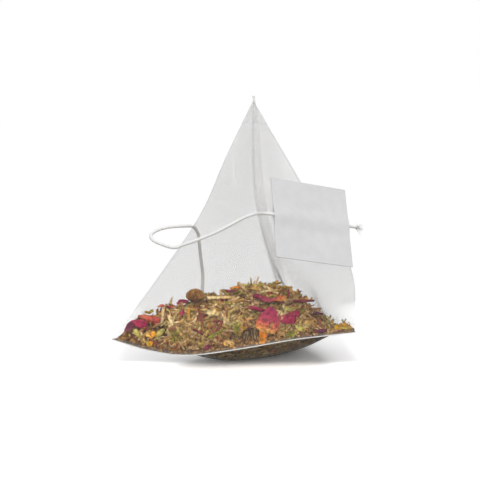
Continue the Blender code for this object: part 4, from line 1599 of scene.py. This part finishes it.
def tagPaper():
    # uncoated wood-free paper: flat light grey-white, faint cloudy formation and tooth
    settings = {"Roughness": 0.92, "Specular IOR Level": 0.2}
    stops = [(0.3, "d4d4d5"), (0.7, "dadadb")]
    made, tree, shader = cloudyMaterial("uncoatedPaper", settings, 420.0, 4.0, stops)
    tooth = addBump(tree, addNoise(tree, 5200.0, 2.0), 0.3, 0.00003)
    plugIn(tree, shader, {"Normal": tooth})
    return made


def tagLeaf(leaf):
    # one leaf of the folded card, humped over the thread, both of its skins
    slipX, slipZ = (0.0, 0.0) if leaf == 1 else tag["shift"]
    half = cotton["diameter"] / 2
    verts = []
    for skin in (0, 1):
        for i in range(tag["columns"] + 1):
            x = (i / tag["columns"] - 0.5) * tag["width"]
            for j in range(tag["rows"] + 1):
                down = 1 - j / tag["rows"]
                z = (0.5 - down) * tag["height"]
                near = min(abs(z - tag["threadHeight"]) / tag["humpReach"], 1.0)
                hump = half * (0.5 + 0.5 * math.cos(math.pi * near))
                wave = tag["warp"] * math.sin(x * 210 + 1.0) * math.cos(z * 160)
                parted = tag["warp"] * max(down - 0.5, 0.0) if leaf == -1 else 0.0
                y = tag["leafGap"] + hump + skin * tag["card"] + parted
                place = Vector((x + slipX * down, wave - leaf * y, z + slipZ * down))
                verts.append(tagFrame @ place)
    return verts, sheetFaces(tag["columns"], tag["rows"]), ()


def buildTag(finish):
    # two leaves folded at the top and pressed together over the thread
    verts, faces, tones = gathered([tagLeaf(1), tagLeaf(-1)])
    paper = meshObject("paper_tag", verts, faces, finish, smooth=False)
    bm = bmesh.new()
    bm.from_mesh(paper.data)
    bmesh.ops.recalc_face_normals(bm, faces=bm.faces[:])
    bm.to_mesh(paper.data)
    bm.free()
    paper.data.shade_smooth()
    paper.data.set_sharp_from_angle(angle=tag["sharp"])
    return paper


def buildBag():
    finish = nylonThread()
    tree = threadTree()
    cloth = buildCloth()
    warp = buildThreads("gauze_warp", 1, 0.0, tree, finish)
    weft = buildThreads("gauze_weft", -1, gauze["layerGap"], tree, finish)
    front = buildSeal("front_seal", "left", "right", bag["frontFin"] * 0.7, 0.0,
                      (0.0, 0.0, 0.12), weldedNylon("weldedSeam", 1.0))
    back = buildSeal("back_seal", "back", "apex", bag["backFin"], bag["earHeight"],
                     (1.6, 0.0, 0.0), weldedNylon("pressedSeam", 0.07))
    for piece in (warp, weft, front, back):
        ride(piece, "mesh")
    ride(cloth, "mesh", "mesh_bag")
    print("gauze made", len(warp.data.polygons), len(weft.data.polygons))


def buildTea():
    room = makeRoom()
    bed = buildBed(room, packedHerb())
    finishes = {}
    for look, (colours, mottle, *places) in herbLooks.items():
        stops = colourStops(colours, *places)
        finishes[look] = herbColours("dried_" + look, stops, 0.75, 1300.0, mottle)
    guarded = []
    buildTold(room, surfaceTree(bed.data), finishes, guarded)
    buildFiner(room, finishes, guarded)
    taken = KDTree(len(guarded))
    for i, point in enumerate(guarded):
        taken.insert(point, i)
    taken.balance()
    print("pieces told apart are made")

    tree = scatterTree()
    patterns = {
        "crumb": crumbPattern("crumbPattern"),
        "stem": stemPattern("stemPattern", 6, 4),
        "needle": stemPattern("needlePattern", 3, 3),
        "flake": bladePattern("flakePattern", 4, 2, 2.0, 0.12, 0.06),
        "petal": bladePattern("petalPattern", 6, 4, 3.0, 0.18, 0.12),
    }
    bed.data.calc_loop_triangles()
    for number, (name, kind) in enumerate(teaKinds.items()):
        rng = np.random.default_rng(loose["seed"] + number)
        stops = colourStops(kind["colours"], kind.get("stops"))
        finish = herbColours(name + "Finish", stops, 0.8, 1500.0, loose["mottle"])
        pattern = patterns[kind["pattern"]]
        ride(scatter(name, kind, bed.data, room, taken, rng, tree, pattern, finish), kind["slot"])
    for pattern in patterns.values():
        bpy.data.objects.remove(pattern)
    ride(bed, "herb_leaf", "tea_leaves")


def buildThreadAndTag():
    white = twistedCotton()
    thread, path, length = buildCotton(white)
    fray = buildFray(path, white)
    fuzz = buildFuzz(path, white)
    paper = buildTag(tagPaper())
    ride(thread, "cotton", "thread")
    ride(fray, "cotton")
    ride(fuzz, "cotton")
    ride(paper, "paper_tag", "tag")
    print("thread", round(length * 1000, 1), "mm")


buildCamera()
buildThreadAndTag()
buildStage()
buildBag()
buildTea()
